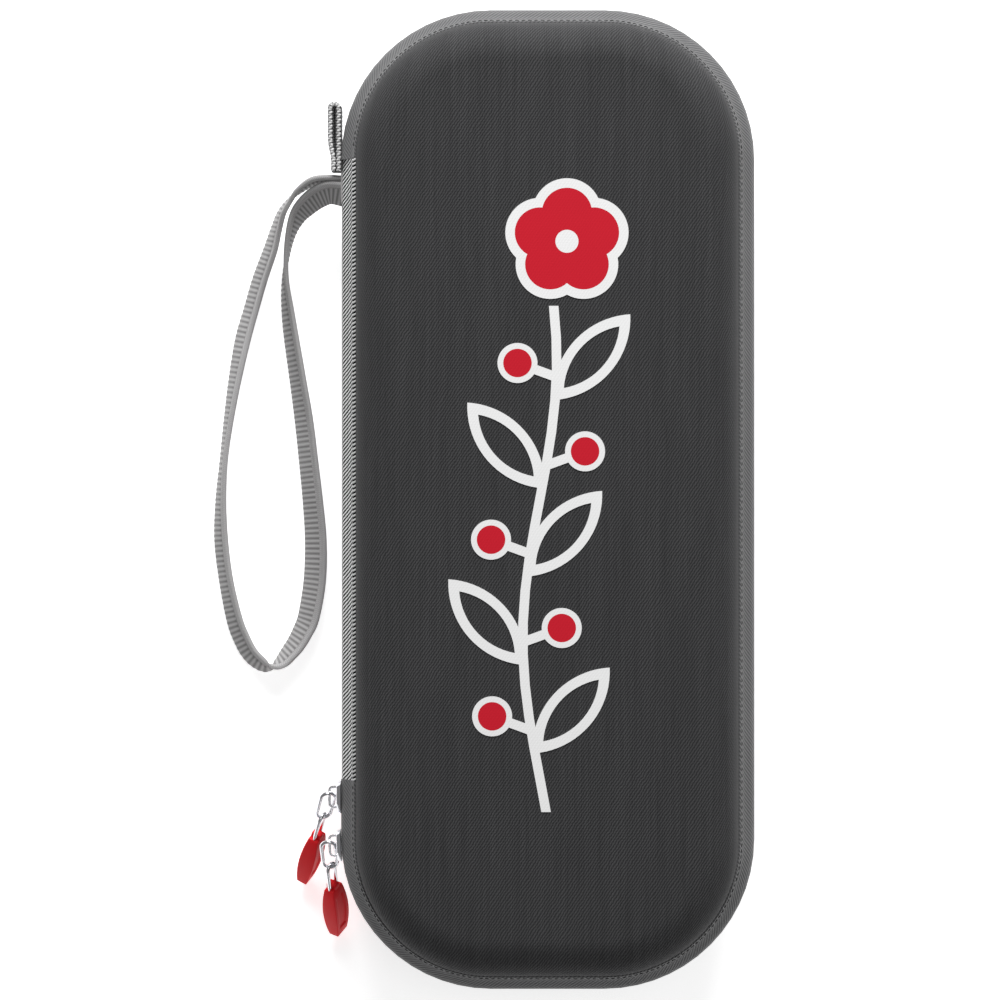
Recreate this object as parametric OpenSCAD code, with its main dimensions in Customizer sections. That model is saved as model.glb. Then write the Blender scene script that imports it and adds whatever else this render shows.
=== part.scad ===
// Zipped hard case for a stethoscope: two moulded foam shells covered in
// fabric, joined by a woven spine ribbon on the left side and a zip round
// the rest. It lies on its back with the lid up. Units are millimetres.
// Origin: centre of the back panel's flat outer face, +Y to the top end.

/* [Case] */
// Length over the zip, along Y
body_l = 294; // [270:1:320]
// Width over the zip, along X
body_w = 124; // [112:1:140]
// Height of the closed case
body_h = 55; // [48:1:66]
// Corner radius of the outline over the zip
corner_r = 45; // [38:1:50]

/* [Shell] */
// Distance of the shell wall behind the zip's outer face
wall_set = 4; // [3.8:0.1:4.6]
// Lean of the walls from vertical, in degrees
draft = 6; // [3:0.5:9]
// Radius of the rounded shoulder round each panel
shoulder_r = 12; // [9:0.5:14]
// Thickness of the outer fabric
cover_t = 0.8; // [0.5:0.1:1.2]
// Thickness of the moulded foam
core_t = 3.6; // [2.5:0.1:4.5]
// Thickness of the inner lining
lining_t = 0.6; // [0.4:0.1:1]
// Height of each shell's rim over the parting plane
rim_h = 3; // [2.8:0.1:3.6]
// Thickness of the rim binding
binding_t = 0.6; // [0.4:0.1:0.8]
// Height that the binding reaches up the inner wall
binding_reach = 9; // [7:0.5:11]

/* [Zip] */
// Thickness of the zip tape
tape_t = 0.7; // [0.5:0.1:0.9]
// Height of the tape's sewn edge over the parting plane
tape_reach = 11; // [10:0.5:13]
// Height where the tape leaves the wall
tape_lift = 8; // [7:0.5:9]
// Half of the slit between the two tape edges
tape_slit = 1; // [0.8:0.1:1.4]
// Depth of the coil, inward
coil_d = 1.8; // [1.4:0.1:1.9]
// Half of the gap between the two coil halves
coil_gap = 0.4; // [0.35:0.05:0.6]

/* [Spine] */
// Thickness of the woven spine ribbon
ribbon_t = 1; // [0.7:0.1:1.4]
// Height of the ribbon's lower end over the lower corner arc
ribbon_rise = 18; // [14:1:22]
// Thickness of the strip inside the spine
spine_lining_t = 0.6; // [0.4:0.1:0.8]
// Half height of the strip inside the spine
spine_lining_reach = 7; // [5:0.5:8.5]

/* [Slider] */
// Length of a slider along the zip
slider_l = 10; // [8:0.5:11]
// Width of a slider's outer plate
slider_w = 8; // [6:0.5:9]
// Thickness of the outer plate
plate_t = 1.1; // [0.8:0.1:1.4]
// Gap between a slider's plates and the zip
slider_gap = 0.4; // [0.35:0.05:0.45]
// Drop of the upper slider's middle under the ribbon's lower end
upper_slider_drop = 5.5; // [5.5:0.5:7]
// Angle of the lower slider round the bottom left corner
lower_slider_a = 2.6; // [2:0.1:12]
// Clear height under the slider's bail
bail_clear = 1.8; // [1.7:0.1:2.2]
// Thickness of the bail's bar
bail_t = 0.8; // [0.6:0.1:1]

/* [Pull] */
// Wire thickness of the ring and the loop
wire_d = 1; // [0.8:0.1:1.1]
// Outer length of the ring
ring_l = 12; // [10:0.5:14]
// Outer width of the ring
ring_w = 5.2; // [5:0.1:6]
// Outer width of the wire loop in the grip
loop_w = 4.6; // [4.4:0.1:4.8]
// Length of the grip
grip_l = 19.5; // [16:0.5:22]
// Depth of the grip, across its thumb grooves
grip_w = 7; // [6.4:0.1:8]
// Width of the grip's plain face
grip_t = 5; // [4.6:0.1:5.5]
// Length of the wire loop outside the grip
loop_out = 9.6; // [8:0.1:9.7]
// Fall of both pulls below the horizontal, in degrees
pull_fall = 41.5; // [30:0.5:42]
// Plan direction of the upper pull, from +X
upper_pull_dir = 252; // [246:1:258]
// Plan direction of the lower pull, from +X
lower_pull_dir = 273; // [270:1:276]
// Roll of the upper loop and grip against their ring
upper_pull_roll = -38; // [-45:1:-30]
// Roll of the lower loop and grip against their ring
lower_pull_roll = -32; // [-45:1:-30]

/* [Strap] */
// Width of the strap webbing
strap_w = 9; // [7:0.5:10]
// Thickness of the strap webbing
strap_t = 1.5; // [0.8:0.1:1.8]
// Distance of the strap's root under the upper corner arc
strap_inset = 8.2; // [8:0.1:14]
// Room round the strap's tail in the seam
seam_gap = 0.3; // [0.2:0.05:0.4]
// Length of the folded seam tab
tab_l = 21; // [16:1:24]
// Width of the seam tab's webbing
tab_w = 8; // [6:0.5:9]
// Thickness of the seam tab's webbing
tab_t = 1.5; // [1.2:0.1:1.8]
// Drop of the seam tab's lower edge under the parting plane
tab_drop = 5.5; // [4:0.5:7]
// Length of the strap's tail sewn in behind the shell wall
tail_sewn = 4; // [3:0.5:6]

/* [Inside] */
// Height of the mesh pocket over the parting plane
pocket_h = 10; // [9.8:0.2:14]
// Upper end of the mesh pocket
pocket_top = 20; // [-20:5:60]
// Thickness of the mesh
mesh_t = 0.6; // [0.4:0.1:0.8]
// Width of the elastic edge of the pocket
pocket_edge_w = 10; // [6:1:14]
// Width of each hold-down band
band_w = 22; // [15:1:30]
// Distance of each hold-down band from the middle
band_y = 62; // [45:1:75]
// Thickness of the hold-down bands
band_t = 1.2; // [0.8:0.1:1.5]
// Depth of the bands below the parting plane
band_depth = 5; // [4:0.5:7]
// Length of a band's sewn end
band_end = 9; // [7:0.5:12]

/* [Print] */
// Thickness of the printed film
film_t = 0.25; // [0.15:0.05:0.4]
// Width of the white lines
line_w = 2.8; // [2:0.1:3.4]
// Radius of each of the bloom's petals
petal_r = 7.4; // [5:0.2:8.6]
// Radius of the bloom's white eye
bloom_eye = 3.4; // [2.6:0.2:4]

/* [Hidden] */
$fn = 96;

// Outline: straight sides and ends with a corner arc between each two
half_w = body_w / 2;
half_l = body_l / 2;
half_h = body_h / 2;
corner_x = half_w - corner_r;
corner_y = half_l - corner_r;

// Stations along the spine, from the corner arcs
ribbon_low = ribbon_rise - corner_y;
upper_slider_y = ribbon_low - upper_slider_drop;
strap_y = corner_y - strap_inset;

// Shell section, as u outward from the outline and h over the parting plane
shell_t = cover_t + core_t + lining_t;
shoulder_h = half_h - shoulder_r;
shoulder_u = -wall_set - (shoulder_h + shoulder_r * sin(draft) - rim_h) * tan(draft)
  - shoulder_r * cos(draft);
panel_u = shoulder_u - 3;
flat_u = shoulder_u - 9;
arc_steps = 8;

// Zip section
tape_round = 3.5;
coil_out = -tape_t;
coil_in = coil_out - coil_d;
coil_top = tape_slit + 1.1;

// Sliders, measured outward from the outline
plate_in = slider_gap;
plate_out = plate_in + plate_t;
bail_in = plate_out + bail_clear;
bail_u = bail_in + bail_t / 2;
bail_out = bail_in + bail_t;
bail_post = 1;
bail_half = 3.5;
bail_w = 0.8;
neck_gap = 0.18;
neck_t = 2 * (coil_gap - neck_gap);
neck_l = 4;
inner_plate_t = 0.6;
inner_plate_l = 8;
inner_plate_w = 4;

// Pulls, measured along their own length from the bail's bar
wire_r = wire_d / 2;
link_gap = 0.2;
bail_room = ceil(20 * (norm([bail_t, bail_w / sin(pull_fall)]) / 2 + wire_r + link_gap)) / 20;
ring_bend = ring_w / 2 - wire_r;
ring_shift = floor(100 * (ring_bend - bail_room) * sqrt(0.5)) / 100;
ring_near = ring_shift - ring_bend;
ring_far = ring_near + ring_l - wire_d;
loop_near = ring_far - wire_d - link_gap;
grip_near = loop_near + loop_out;
loop_sink = 4;
lug_l = 1.6;
lug_w = 1.7;
lug_high = 2.6;
loop_leg = loop_w / 2 - wire_r;
wire_fit = 0.02;
grip_bow = 0.9;
bow_steps = 5;
ring_roll = -24;

// Strap route: middle line from the seam along the outer strand, round the
// bottom of the loop and back along the inner strand. Each row is x and y from
// the root, the height of the lower edge and the lean from upright. Both ends
// twist out of the flat tail as they leave the seam.
root_out = 0.9;
strap_root_x = -half_w - root_out;
outer_root_y = 1;
inner_root_y = -1.9;
strap_lie = [
  [0, outer_root_y, half_h - 7, -32],
  [-4.4, 2.5, 18.7, -12],
  [-8.6, 2.2, 17, -6],
  [-12.7, -0.2, 14.7, 0],
  [-15.2, -2.6, 12.7, 8],
  [-18.2, -6.7, 10.5, 15],
  [-20.2, -12, 8, 21],
  [-22, -17.6, 6, 27],
  [-25.5, -26.6, 2.9, 30],
  [-28.3, -35.7, 1.1, 30],
  [-30.9, -44.9, 0.66, 31],
  [-33.3, -57.2, 0.59, 24],
  [-35.2, -69.4, 0.53, 17],
  [-36.7, -81.7, 0.48, 13],
  [-37.6, -94, 0.55, 19],
  [-37.5, -106.2, 0.61, 26],
  [-36, -118.5, 0.62, 27],
  [-33.4, -130.7, 0.67, 32],
  [-30.9, -137.2, 0.69, 34],
  [-28.6, -141.2, 0.67, 32],
  [-25.8, -143.8, 0.63, 28],
  [-23.2, -145, 0.52, 16],
  [-20.9, -144.5, 0.45, -10],
  [-18.6, -143, 0.61, -26],
  [-16.5, -140.5, 0.68, -33],
  [-14.5, -137.8, 0.72, -38],
  [-12.5, -134.1, 0.75, -42],
  [-10.7, -129.5, 0.78, -46],
  [-8.9, -118.5, 0.8, -48],
  [-8.6, -106.2, 0.78, -46],
  [-9.5, -94, 0.75, -42],
  [-10.8, -81.7, 0.73, -39],
  [-12.2, -69.4, 0.71, -37],
  [-14, -57.2, 0.67, -32],
  [-15.9, -44.9, 0.63, -28],
  [-17.1, -35.7, 1, -22],
  [-17.7, -26.6, 2.6, -10],
  [-16.9, -18.2, 5.1, 0],
  [-15.4, -12, 8, 10],
  [-13.3, -7.6, 10.7, 24],
  [-10.7, -4.9, 13.7, 34],
  [-7.1, -2.4, 16.8, 40],
  [-3, -1.1, 20.1, 42],
  [0, inner_root_y, half_h - 5.5, 44]
];
strap_route = [for (r = strap_lie) [r[0] + strap_root_x, r[1] + strap_y, r[2], r[3]]];
strap_cuts = 2;
tail_out = 0.2;
tail_l = wall_set + tail_sewn;

// Seam tab
tab_root = 5;
tab_y = strap_y + strap_w / 2 + seam_gap;
tab_low = half_h - tab_drop;
tab_open = 1;

// Gap between the inside pieces and what they are sewn to
seat_gap = 0.2;

// Colours
cover_col = [0.25, 0.25, 0.26];
foam_col = [0.12, 0.12, 0.12];
lining_col = [0.17, 0.17, 0.18];
tape_col = [0.4, 0.4, 0.4];
coil_col = [0.1, 0.1, 0.1];
ribbon_col = [0.52, 0.52, 0.52];
strap_col = [0.6, 0.6, 0.6];
chrome_col = [0.78, 0.78, 0.8];
red_col = [0.72, 0.1, 0.14];
white_col = [0.96, 0.96, 0.96];

// Wall face at depth d under the outer surface, at height h
function wall_u(h, d) = -wall_set - (h - rim_h) * tan(draft) - d / cos(draft);

// Shoulder arc at depth d, from the wall to the panel
function shoulder(d) = [
  for (i = [0:arc_steps])
    let (a = draft + (90 - draft) * i / arc_steps)
      [shoulder_u + (shoulder_r - d) * cos(a), shoulder_h + (shoulder_r - d) * sin(a)]
];

function turned(list) = [for (i = [len(list) - 1:-1:0]) list[i]];

// Points of the outline moved out by u, with n steps a corner
function corner_points(x, y, u, n, first) = [
  for (i = [0:n])
    let (a = first + 90 * i / n)
      [x + (corner_r + u) * cos(a), y + (corner_r + u) * sin(a)]
];
function outline_points(u, n) = concat(
  corner_points(corner_x, corner_y, u, n, 0),
  corner_points(-corner_x, corner_y, u, n, 90),
  corner_points(-corner_x, -corner_y, u, n, 180),
  corner_points(corner_x, -corner_y, u, n, 270)
);

// Places a half of the case over or under the parting plane
module on_lid() translate([0, 0, half_h]) children();
module on_base() translate([0, 0, half_h]) mirror([0, 0, 1]) children();

// Sweeps a section (u, h) round the corners
module round_corners()
  for (x = [0, 1], y = [0, 1])
    mirror([x, 0, 0]) mirror([0, y, 0]) translate([corner_x, corner_y, 0])
      rotate_extrude(angle = 90) translate([corner_r, 0]) children();

// Runs a section along both short ends, and along a long side from y = low to
// y = high
module short_ends()
  for (a = [90, 270])
    rotate([0, 0, a]) translate([half_l, corner_x, 0]) rotate([90, 0, 0])
      linear_extrude(2 * corner_x) children();
module right_side(low, high)
  translate([half_w, high, 0]) rotate([90, 0, 0]) linear_extrude(high - low) children();
module left_side(low, high) mirror([1, 0, 0]) right_side(low, high) children();

module swept() {
  round_corners() children();
  short_ends() children();
  right_side(-corner_y, corner_y) children();
  left_side(-corner_y, corner_y) children();
}

// Runs a section along the zip, which leaves out the spine
module along_zip() {
  round_corners() children();
  short_ends() children();
  right_side(-corner_y, corner_y) children();
  left_side(-corner_y, ribbon_low) children();
}

// One layer of a shell, between two depths under the outer surface
module shell_layer(outer, inner) {
  swept() polygon(concat(
    [[wall_u(rim_h, outer), rim_h]], shoulder(outer), [[flat_u, half_h - outer]],
    [[flat_u, half_h - inner]], turned(shoulder(inner)), [[wall_u(rim_h, inner), rim_h]]
  ));
  translate([0, 0, half_h - inner]) linear_extrude(inner - outer)
    polygon(outline_points(panel_u, 2));
}

// Fabric binding over the rim's edge and a little way up the inner wall
module rim_binding() {
  low = rim_h - binding_t;
  swept() polygon([
    [wall_u(rim_h, 0), rim_h], [wall_u(rim_h, 0), low], [wall_u(low, shell_t + binding_t), low],
    [wall_u(binding_reach, shell_t + binding_t), binding_reach],
    [wall_u(binding_reach, shell_t), binding_reach], [wall_u(rim_h, shell_t), rim_h]
  ]);
}

// Half of the zip tape: flat on the wall above, bulging out to the coil below
module tape_half() {
  reach = wall_u(tape_reach, 0);
  lift = wall_u(tape_lift, 0);
  along_zip() polygon([
    [0, tape_slit], [0, tape_slit + 1.3], [-0.9, tape_slit + tape_round],
    [lift + 1.8, tape_lift - 1.4], [lift + tape_t + 0.1, tape_lift],
    [reach + tape_t, tape_reach], [reach, tape_reach], [lift, tape_lift],
    [lift + 1.1, tape_lift - 2], [-1.6, tape_slit + 3], [coil_out, coil_top],
    [coil_out, tape_slit]
  ]);
}

// Half of the zip's coil, behind the tape
module coil_half()
  along_zip() polygon([
    [coil_out, coil_gap], [coil_out, coil_top], [coil_in, coil_top], [coil_in, coil_gap]
  ]);

// The section of the spine ribbon's outer face, over the parting plane
function ribbon_face(t) = [
  [wall_u(tape_reach, 0) + t, tape_reach], [wall_u(tape_lift, 0) + t, tape_lift],
  [t - 2.9, 4.6], [t - 1.5, 2.2], [t - ribbon_t, 0]
];
function flipped(list) = [for (p = turned(list)) [p[0], -p[1]]];

module spine_ribbon() color(ribbon_col)
  difference() {
    translate([0, 0, half_h]) left_side(ribbon_low, corner_y) polygon(concat(
      ribbon_face(ribbon_t), flipped([for (i = [0:3]) ribbon_face(ribbon_t)[i]]),
      turned(flipped([for (i = [0:3]) ribbon_face(0)[i]])), turned(ribbon_face(0))
    ));
    translate([-half_w, strap_y, half_h])
      cube([2 * wall_set, strap_w + 2 * seam_gap, 2 * (strap_t + seam_gap)], center = true);
  }

// Inner strip of the hinge, on the inner faces of both bindings
module spine_lining() color(lining_col) {
  in = shell_t + binding_t;
  top = wall_u(spine_lining_reach, in);
  low = wall_u(rim_h - binding_t, in);
  t = spine_lining_t;
  translate([0, 0, half_h]) left_side(ribbon_low, -ribbon_low) polygon([
    [top, spine_lining_reach], [low, rim_h - binding_t], [low, binding_t - rim_h],
    [top, -spine_lining_reach], [top - t, -spine_lining_reach], [low - t, binding_t - rim_h],
    [low - t, rim_h - binding_t], [top - t, spine_lining_reach]
  ]);
}

// Both ends of the strap, sewn flat one on the other into the seam
module strap_tail() color(strap_col)
  translate([-half_w - tail_out, strap_y - strap_w / 2, half_h - strap_t])
    cube([tail_l, strap_w, 2 * strap_t]);

// Folded tab of webbing, sewn on at its lower end and standing off above it
module seam_tab() color(strap_col)
  translate([-half_w - 0.1, tab_y, tab_low]) {
    translate([-2 * tab_t, 0, 0]) cube([2 * tab_t, tab_root, tab_w]);
    translate([-tab_t, 0, 0]) cube([tab_t, tab_l - 2, tab_w]);
    translate([-2 * tab_t - tab_open, tab_root, 0]) cube([tab_t, tab_l - tab_root - 2, tab_w]);
    translate([-2 * tab_t - tab_open, tab_root - tab_t, 0]) cube([tab_open + tab_t, tab_t, tab_w]);
    translate([-tab_t - tab_open / 2, tab_l - 2, 0]) rotate_extrude(angle = 180)
      translate([tab_open / 2, 0]) square([tab_t, tab_w]);
  }

module base_cover() color(cover_col) on_base() shell_layer(0, cover_t);
module base_core() color(foam_col) on_base() shell_layer(cover_t, cover_t + core_t);
module base_lining() color(lining_col) on_base() shell_layer(cover_t + core_t, shell_t);
module base_binding() color(lining_col) on_base() rim_binding();
module base_zip_tape() color(tape_col) on_base() tape_half();
module base_zip_coil() color(coil_col) on_base() coil_half();

module lid_cover() color(cover_col) on_lid() shell_layer(0, cover_t);
module lid_core() color(foam_col) on_lid() shell_layer(cover_t, cover_t + core_t);
module lid_lining() color(lining_col) on_lid() shell_layer(cover_t + core_t, shell_t);
module lid_binding() color(lining_col) on_lid() rim_binding();
module lid_zip_tape() color(tape_col) on_lid() tape_half();
module lid_zip_coil() color(coil_col) on_lid() coil_half();

// Elastic band across the base, its ends turned down on the side walls
module hold_band(y) color(lining_col) {
  half = half_w + wall_u(spine_lining_reach, shell_t + binding_t) - spine_lining_t - seat_gap;
  translate([-half, y - band_w / 2, half_h - band_depth - band_end]) difference() {
    cube([2 * half, band_w, band_end]);
    translate([band_t, -1, -1]) cube([2 * (half - band_t), band_w + 2, band_end + 1 - band_t]);
  }
}
module hold_band_upper() hold_band(band_y);
module hold_band_lower() hold_band(-band_y);

// Mesh pocket over the lower part of the lid, and its elastic edge
module mesh_pocket() color(lining_col)
  translate([0, 0, half_h + pocket_h]) linear_extrude(mesh_t) intersection() {
    polygon(outline_points(wall_u(pocket_h + mesh_t, shell_t) - seat_gap, 8));
    translate([-half_w, -body_l]) square([body_w, body_l + pocket_top]);
  }
module mesh_pocket_edge() color(lining_col) {
  half = half_w + wall_u(pocket_h + mesh_t, shell_t) - seat_gap;
  translate([-half, pocket_top, half_h + pocket_h]) cube([2 * half, pocket_edge_w, 2 * mesh_t]);
}

// A leaf's outline: two arcs that meet in points, a long and b wide
module lens(a, b) {
  r = (a * a + b * b) / (4 * b);
  intersection() {
    translate([0, r - b / 2]) circle(r);
    translate([0, b / 2 - r]) circle(r);
  }
}
leaf_l = 34;
leaf_w = 14;
leaf_turn = 48;
leaf_first = 18;
leaf_step = 26;
leaf_count = 5;
berry_first = 24;
stem_low = -92;
stem_high = 57;
stem_sway = 5;
stem_wave = 164;
stem_off = 2;
bloom = [6, 76];
petals = 5;
berry_r = 4.2;
berry_stalk = 8;
berry_turn = 20;
ring_line = 1.7;

function stem_x(y) = stem_sway * sin(360 * y / stem_wave) - stem_off;
leaves = [for (i = [0:leaf_count - 1]) [stem_low + leaf_first + i * leaf_step, i % 2 == 0 ? 1 : -1]];
berries = [for (i = [0:leaf_count - 1]) [stem_low + berry_first + i * leaf_step, i % 2 == 0 ? -1 : 1]];

// Places a shape on the stem at height y, turned out to its side
module on_stem(y, side, turn)
  translate([stem_x(y), y]) rotate(side > 0 ? turn : 180 - turn) children();

module leaf(y, side)
  on_stem(y, side, leaf_turn) translate([leaf_l / 2 - 1, 0]) difference() {
    lens(leaf_l, leaf_w);
    lens(leaf_l - 3.4 * line_w, leaf_w - 2 * line_w);
  }

module berry_ring(y, side)
  on_stem(y, side, berry_turn) {
    translate([0, -line_w / 2]) square([berry_stalk, line_w]);
    translate([berry_stalk + berry_r, 0]) difference() {
      circle(berry_r + ring_line);
      circle(berry_r);
    }
  }

// Round petals about the bloom's middle, each grown by a margin
module bloom_petals(margin)
  translate(bloom)
    for (i = [0:petals - 1])
      rotate(90 + 360 * i / petals) translate([petal_r * 1.13, 0]) circle(petal_r + margin);

stem_steps = 16;
module stem()
  for (i = [0:stem_steps - 1]) {
    y1 = stem_low + (stem_high - stem_low) * i / stem_steps;
    y2 = stem_low + (stem_high - stem_low) * (i + 1) / stem_steps;
    polygon([
      [stem_x(y1) - line_w / 2, y1], [stem_x(y1) + line_w / 2, y1],
      [stem_x(y2) + line_w / 2, y2], [stem_x(y2) - line_w / 2, y2]
    ]);
  }

module lid_print_white() color(white_col)
  translate([0, 0, body_h]) linear_extrude(film_t) {
    difference() {
      union() {
        stem();
        for (l = leaves) leaf(l[0], l[1]);
        for (b = berries) berry_ring(b[0], b[1]);
        bloom_petals(line_w);
      }
      bloom_petals(0);
    }
    translate(bloom) circle(bloom_eye);
  }

module lid_print_red() color(red_col)
  translate([0, 0, body_h]) linear_extrude(film_t) {
    difference() {
      bloom_petals(0);
      translate(bloom) circle(bloom_eye);
    }
    for (b = berries)
      on_stem(b[0], b[1], berry_turn) translate([berry_stalk + berry_r, 0]) circle(berry_r);
  }

// A slider: outer plate with its bail, a thin neck between the coils and an
// inner plate. Local x is outward from the outline, y along the zip.
module slider() color(chrome_col) {
  half = slider_l / 2;
  wide = slider_w / 2;
  translate([plate_in, 0, 0]) rotate([90, 0, 90]) linear_extrude(plate_t)
    polygon([
      [-half, -wide + 1.6], [-half + 1.4, -wide], [half - 3, -wide], [half, -wide + 2.4],
      [half, wide - 2.4], [half - 3, wide], [-half + 1.4, wide], [-half, wide - 1.6]
    ]);
  translate([plate_out - 0.1, -bail_half, -bail_w / 2]) difference() {
    cube([bail_out - plate_out + 0.1, 2 * bail_half, bail_w]);
    translate([-0.1, bail_post, -1])
      cube([bail_clear + 0.2, 2 * (bail_half - bail_post), bail_w + 2]);
  }
  translate([coil_in - slider_gap, -neck_l / 2, -neck_t / 2])
    cube([plate_in - coil_in + slider_gap, neck_l, neck_t]);
  translate([coil_in - slider_gap - inner_plate_t, -inner_plate_l / 2, -inner_plate_w / 2])
    cube([inner_plate_t, inner_plate_l, inner_plate_w]);
}

// A link of wire in the local XY plane: two half turns and two straight sides
module link(near, far, width) {
  r = width / 2 - wire_r;
  translate([near + r, 0, 0]) rotate([0, 0, 90]) rotate_extrude(angle = 180)
    translate([r, 0]) circle(wire_r);
  translate([far - r, 0, 0]) rotate([0, 0, -90]) rotate_extrude(angle = 180)
    translate([r, 0]) circle(wire_r);
  for (s = [-1, 1])
    translate([near + r, s * r, 0]) rotate([0, 90, 0]) cylinder(r = wire_r, h = far - near - 2 * r);
}

module pull_ring() color(chrome_col) translate([0, ring_shift, 0]) link(ring_near, ring_far, ring_w);

// Wire loop across the ring, its open ends sunk into the grip
module pull_loop() color(chrome_col) {
  r = loop_w / 2 - wire_r;
  translate([0, ring_shift, 0]) {
    translate([loop_near + r, 0, 0]) rotate([90, 0, 0]) rotate([0, 0, 90])
      rotate_extrude(angle = 180) translate([r, 0]) circle(wire_r);
    for (s = [-1, 1])
      translate([loop_near + r, 0, s * r]) rotate([0, 90, 0])
        cylinder(r = wire_r, h = grip_near + loop_sink - loop_near - r);
  }
}

// Side of the grip: a long shape with slightly bowed sides
function bowed(l, w, side) = [
  for (i = [-bow_steps:bow_steps])
    [i / bow_steps * l / 2, side * (w / 2 - grip_bow * pow(i / bow_steps, 2))]
];
module barrel(l, w) polygon(concat(bowed(l, w, -1), turned(bowed(l, w, 1))));

module pull_grip() color(red_col)
  translate([grip_near, ring_shift, 0]) difference() {
    union() {
      translate([grip_l / 2, 0, 0]) intersection() {
        translate([0, 0, -grip_w]) linear_extrude(2 * grip_w) barrel(grip_l, grip_t);
        rotate([90, 0, 0]) translate([0, 0, -grip_w]) linear_extrude(2 * grip_w)
          barrel(grip_l, grip_w);
      }
      for (s = [-1, 1])
        translate([-lug_l, s * (grip_t / 2 - grip_bow - lug_w / 2) - lug_w / 2, -lug_high / 2])
          cube([lug_l + 1, lug_w, lug_high]);
    }
    for (s = [-1, 1])
      translate([-1, 0, s * loop_leg]) rotate([0, 90, 0])
        cylinder(r = wire_r + wire_fit, h = loop_sink + 1);
  }

// Where the sliders sit, and how the pulls leave their bails
module at_upper() translate([-half_w, upper_slider_y, half_h]) rotate([0, 0, 180]) children();
module at_lower()
  translate([-corner_x, -corner_y, half_h]) rotate([0, 0, 180 + lower_slider_a])
    translate([corner_r, 0, 0]) children();
module pull_roll(roll)
  translate([0, ring_shift, 0]) rotate([roll, 0, 0]) translate([0, -ring_shift, 0]) children();
module upper_chain()
  translate([-half_w - bail_u, upper_slider_y, half_h]) rotate([0, 0, upper_pull_dir])
    rotate([0, pull_fall, 0]) rotate([ring_roll, 0, 0]) mirror([0, 1, 0]) children();
module lower_chain()
  translate([
    -corner_x - (corner_r + bail_u) * cos(lower_slider_a),
    -corner_y - (corner_r + bail_u) * sin(lower_slider_a), half_h
  ])
    rotate([0, 0, lower_pull_dir]) rotate([0, pull_fall, 0]) mirror([0, 1, 0]) children();

module slider_upper() at_upper() slider();
module pull_ring_upper() upper_chain() pull_ring();
module pull_loop_upper() upper_chain() pull_roll(upper_pull_roll) pull_loop();
module pull_grip_upper() upper_chain() pull_roll(upper_pull_roll) pull_grip();
module slider_lower() at_lower() slider();
module pull_ring_lower() lower_chain() pull_ring();
module pull_loop_lower() lower_chain() pull_roll(lower_pull_roll) pull_loop();
module pull_grip_lower() lower_chain() pull_roll(lower_pull_roll) pull_grip();

// A point of the strap's route between two rows, on a smooth curve
function mixed(p, t) = 0.5 * (
  2 * p[1] + (p[2] - p[0]) * t + (2 * p[0] - 5 * p[1] + 4 * p[2] - p[3]) * t * t
  + (3 * p[1] - p[0] - 3 * p[2] + p[3]) * t * t * t
);
function row(i) = strap_route[max(0, min(len(strap_route) - 1, i))];
strap_line = [
  for (i = [0:len(strap_route) - 2], k = [0:strap_cuts - 1])
    mixed([row(i - 1), row(i), row(i + 1), row(i + 2)], k / strap_cuts),
  strap_route[len(strap_route) - 1]
];
strap_last = len(strap_line) - 1;

// Four corners of the webbing's section at one place of the line
function strap_ring(i) = let (
  p = strap_line[i],
  a = i == 0 ? [-1, 0] : i == strap_last ? [1, 0]
    : [strap_line[i + 1][0] - strap_line[i - 1][0], strap_line[i + 1][1] - strap_line[i - 1][1]],
  d = a / norm(a),
  side = [-d[1], d[0]],
  lean = p[3],
  up = [side[0] * sin(lean), side[1] * sin(lean), cos(lean)],
  face = [side[0] * cos(lean), side[1] * cos(lean), -sin(lean)],
  mid = [p[0], p[1], p[2] + strap_w / 2 * cos(lean)]
) [
  mid - up * strap_w / 2 - face * strap_t / 2, mid + up * strap_w / 2 - face * strap_t / 2,
  mid + up * strap_w / 2 + face * strap_t / 2, mid - up * strap_w / 2 + face * strap_t / 2
];

module wrist_strap() color(strap_col)
  polyhedron(
    points = [for (i = [0:strap_last]) each strap_ring(i)],
    faces = concat(
      [[0, 1, 2, 3]], [[for (k = [3:-1:0]) 4 * strap_last + k]],
      [
        for (i = [0:strap_last - 1], k = [0:3])
          each [
            [4 * i + k, 4 * i + 4 + k, 4 * i + (k + 1) % 4],
            [4 * i + (k + 1) % 4, 4 * i + 4 + k, 4 * i + 4 + (k + 1) % 4]
          ]
      ]
    )
  );

base_cover();
base_core();
base_lining();
base_binding();
base_zip_tape();
base_zip_coil();
hold_band_upper();
hold_band_lower();
spine_ribbon();
spine_lining();
strap_tail();
seam_tab();
lid_cover();
lid_core();
lid_lining();
lid_binding();
lid_zip_tape();
lid_zip_coil();
mesh_pocket();
mesh_pocket_edge();
lid_print_white();
lid_print_red();
slider_upper();
pull_ring_upper();
pull_loop_upper();
pull_grip_upper();
slider_lower();
pull_ring_lower();
pull_loop_lower();
pull_grip_lower();
wrist_strap();
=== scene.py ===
import math

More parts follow.
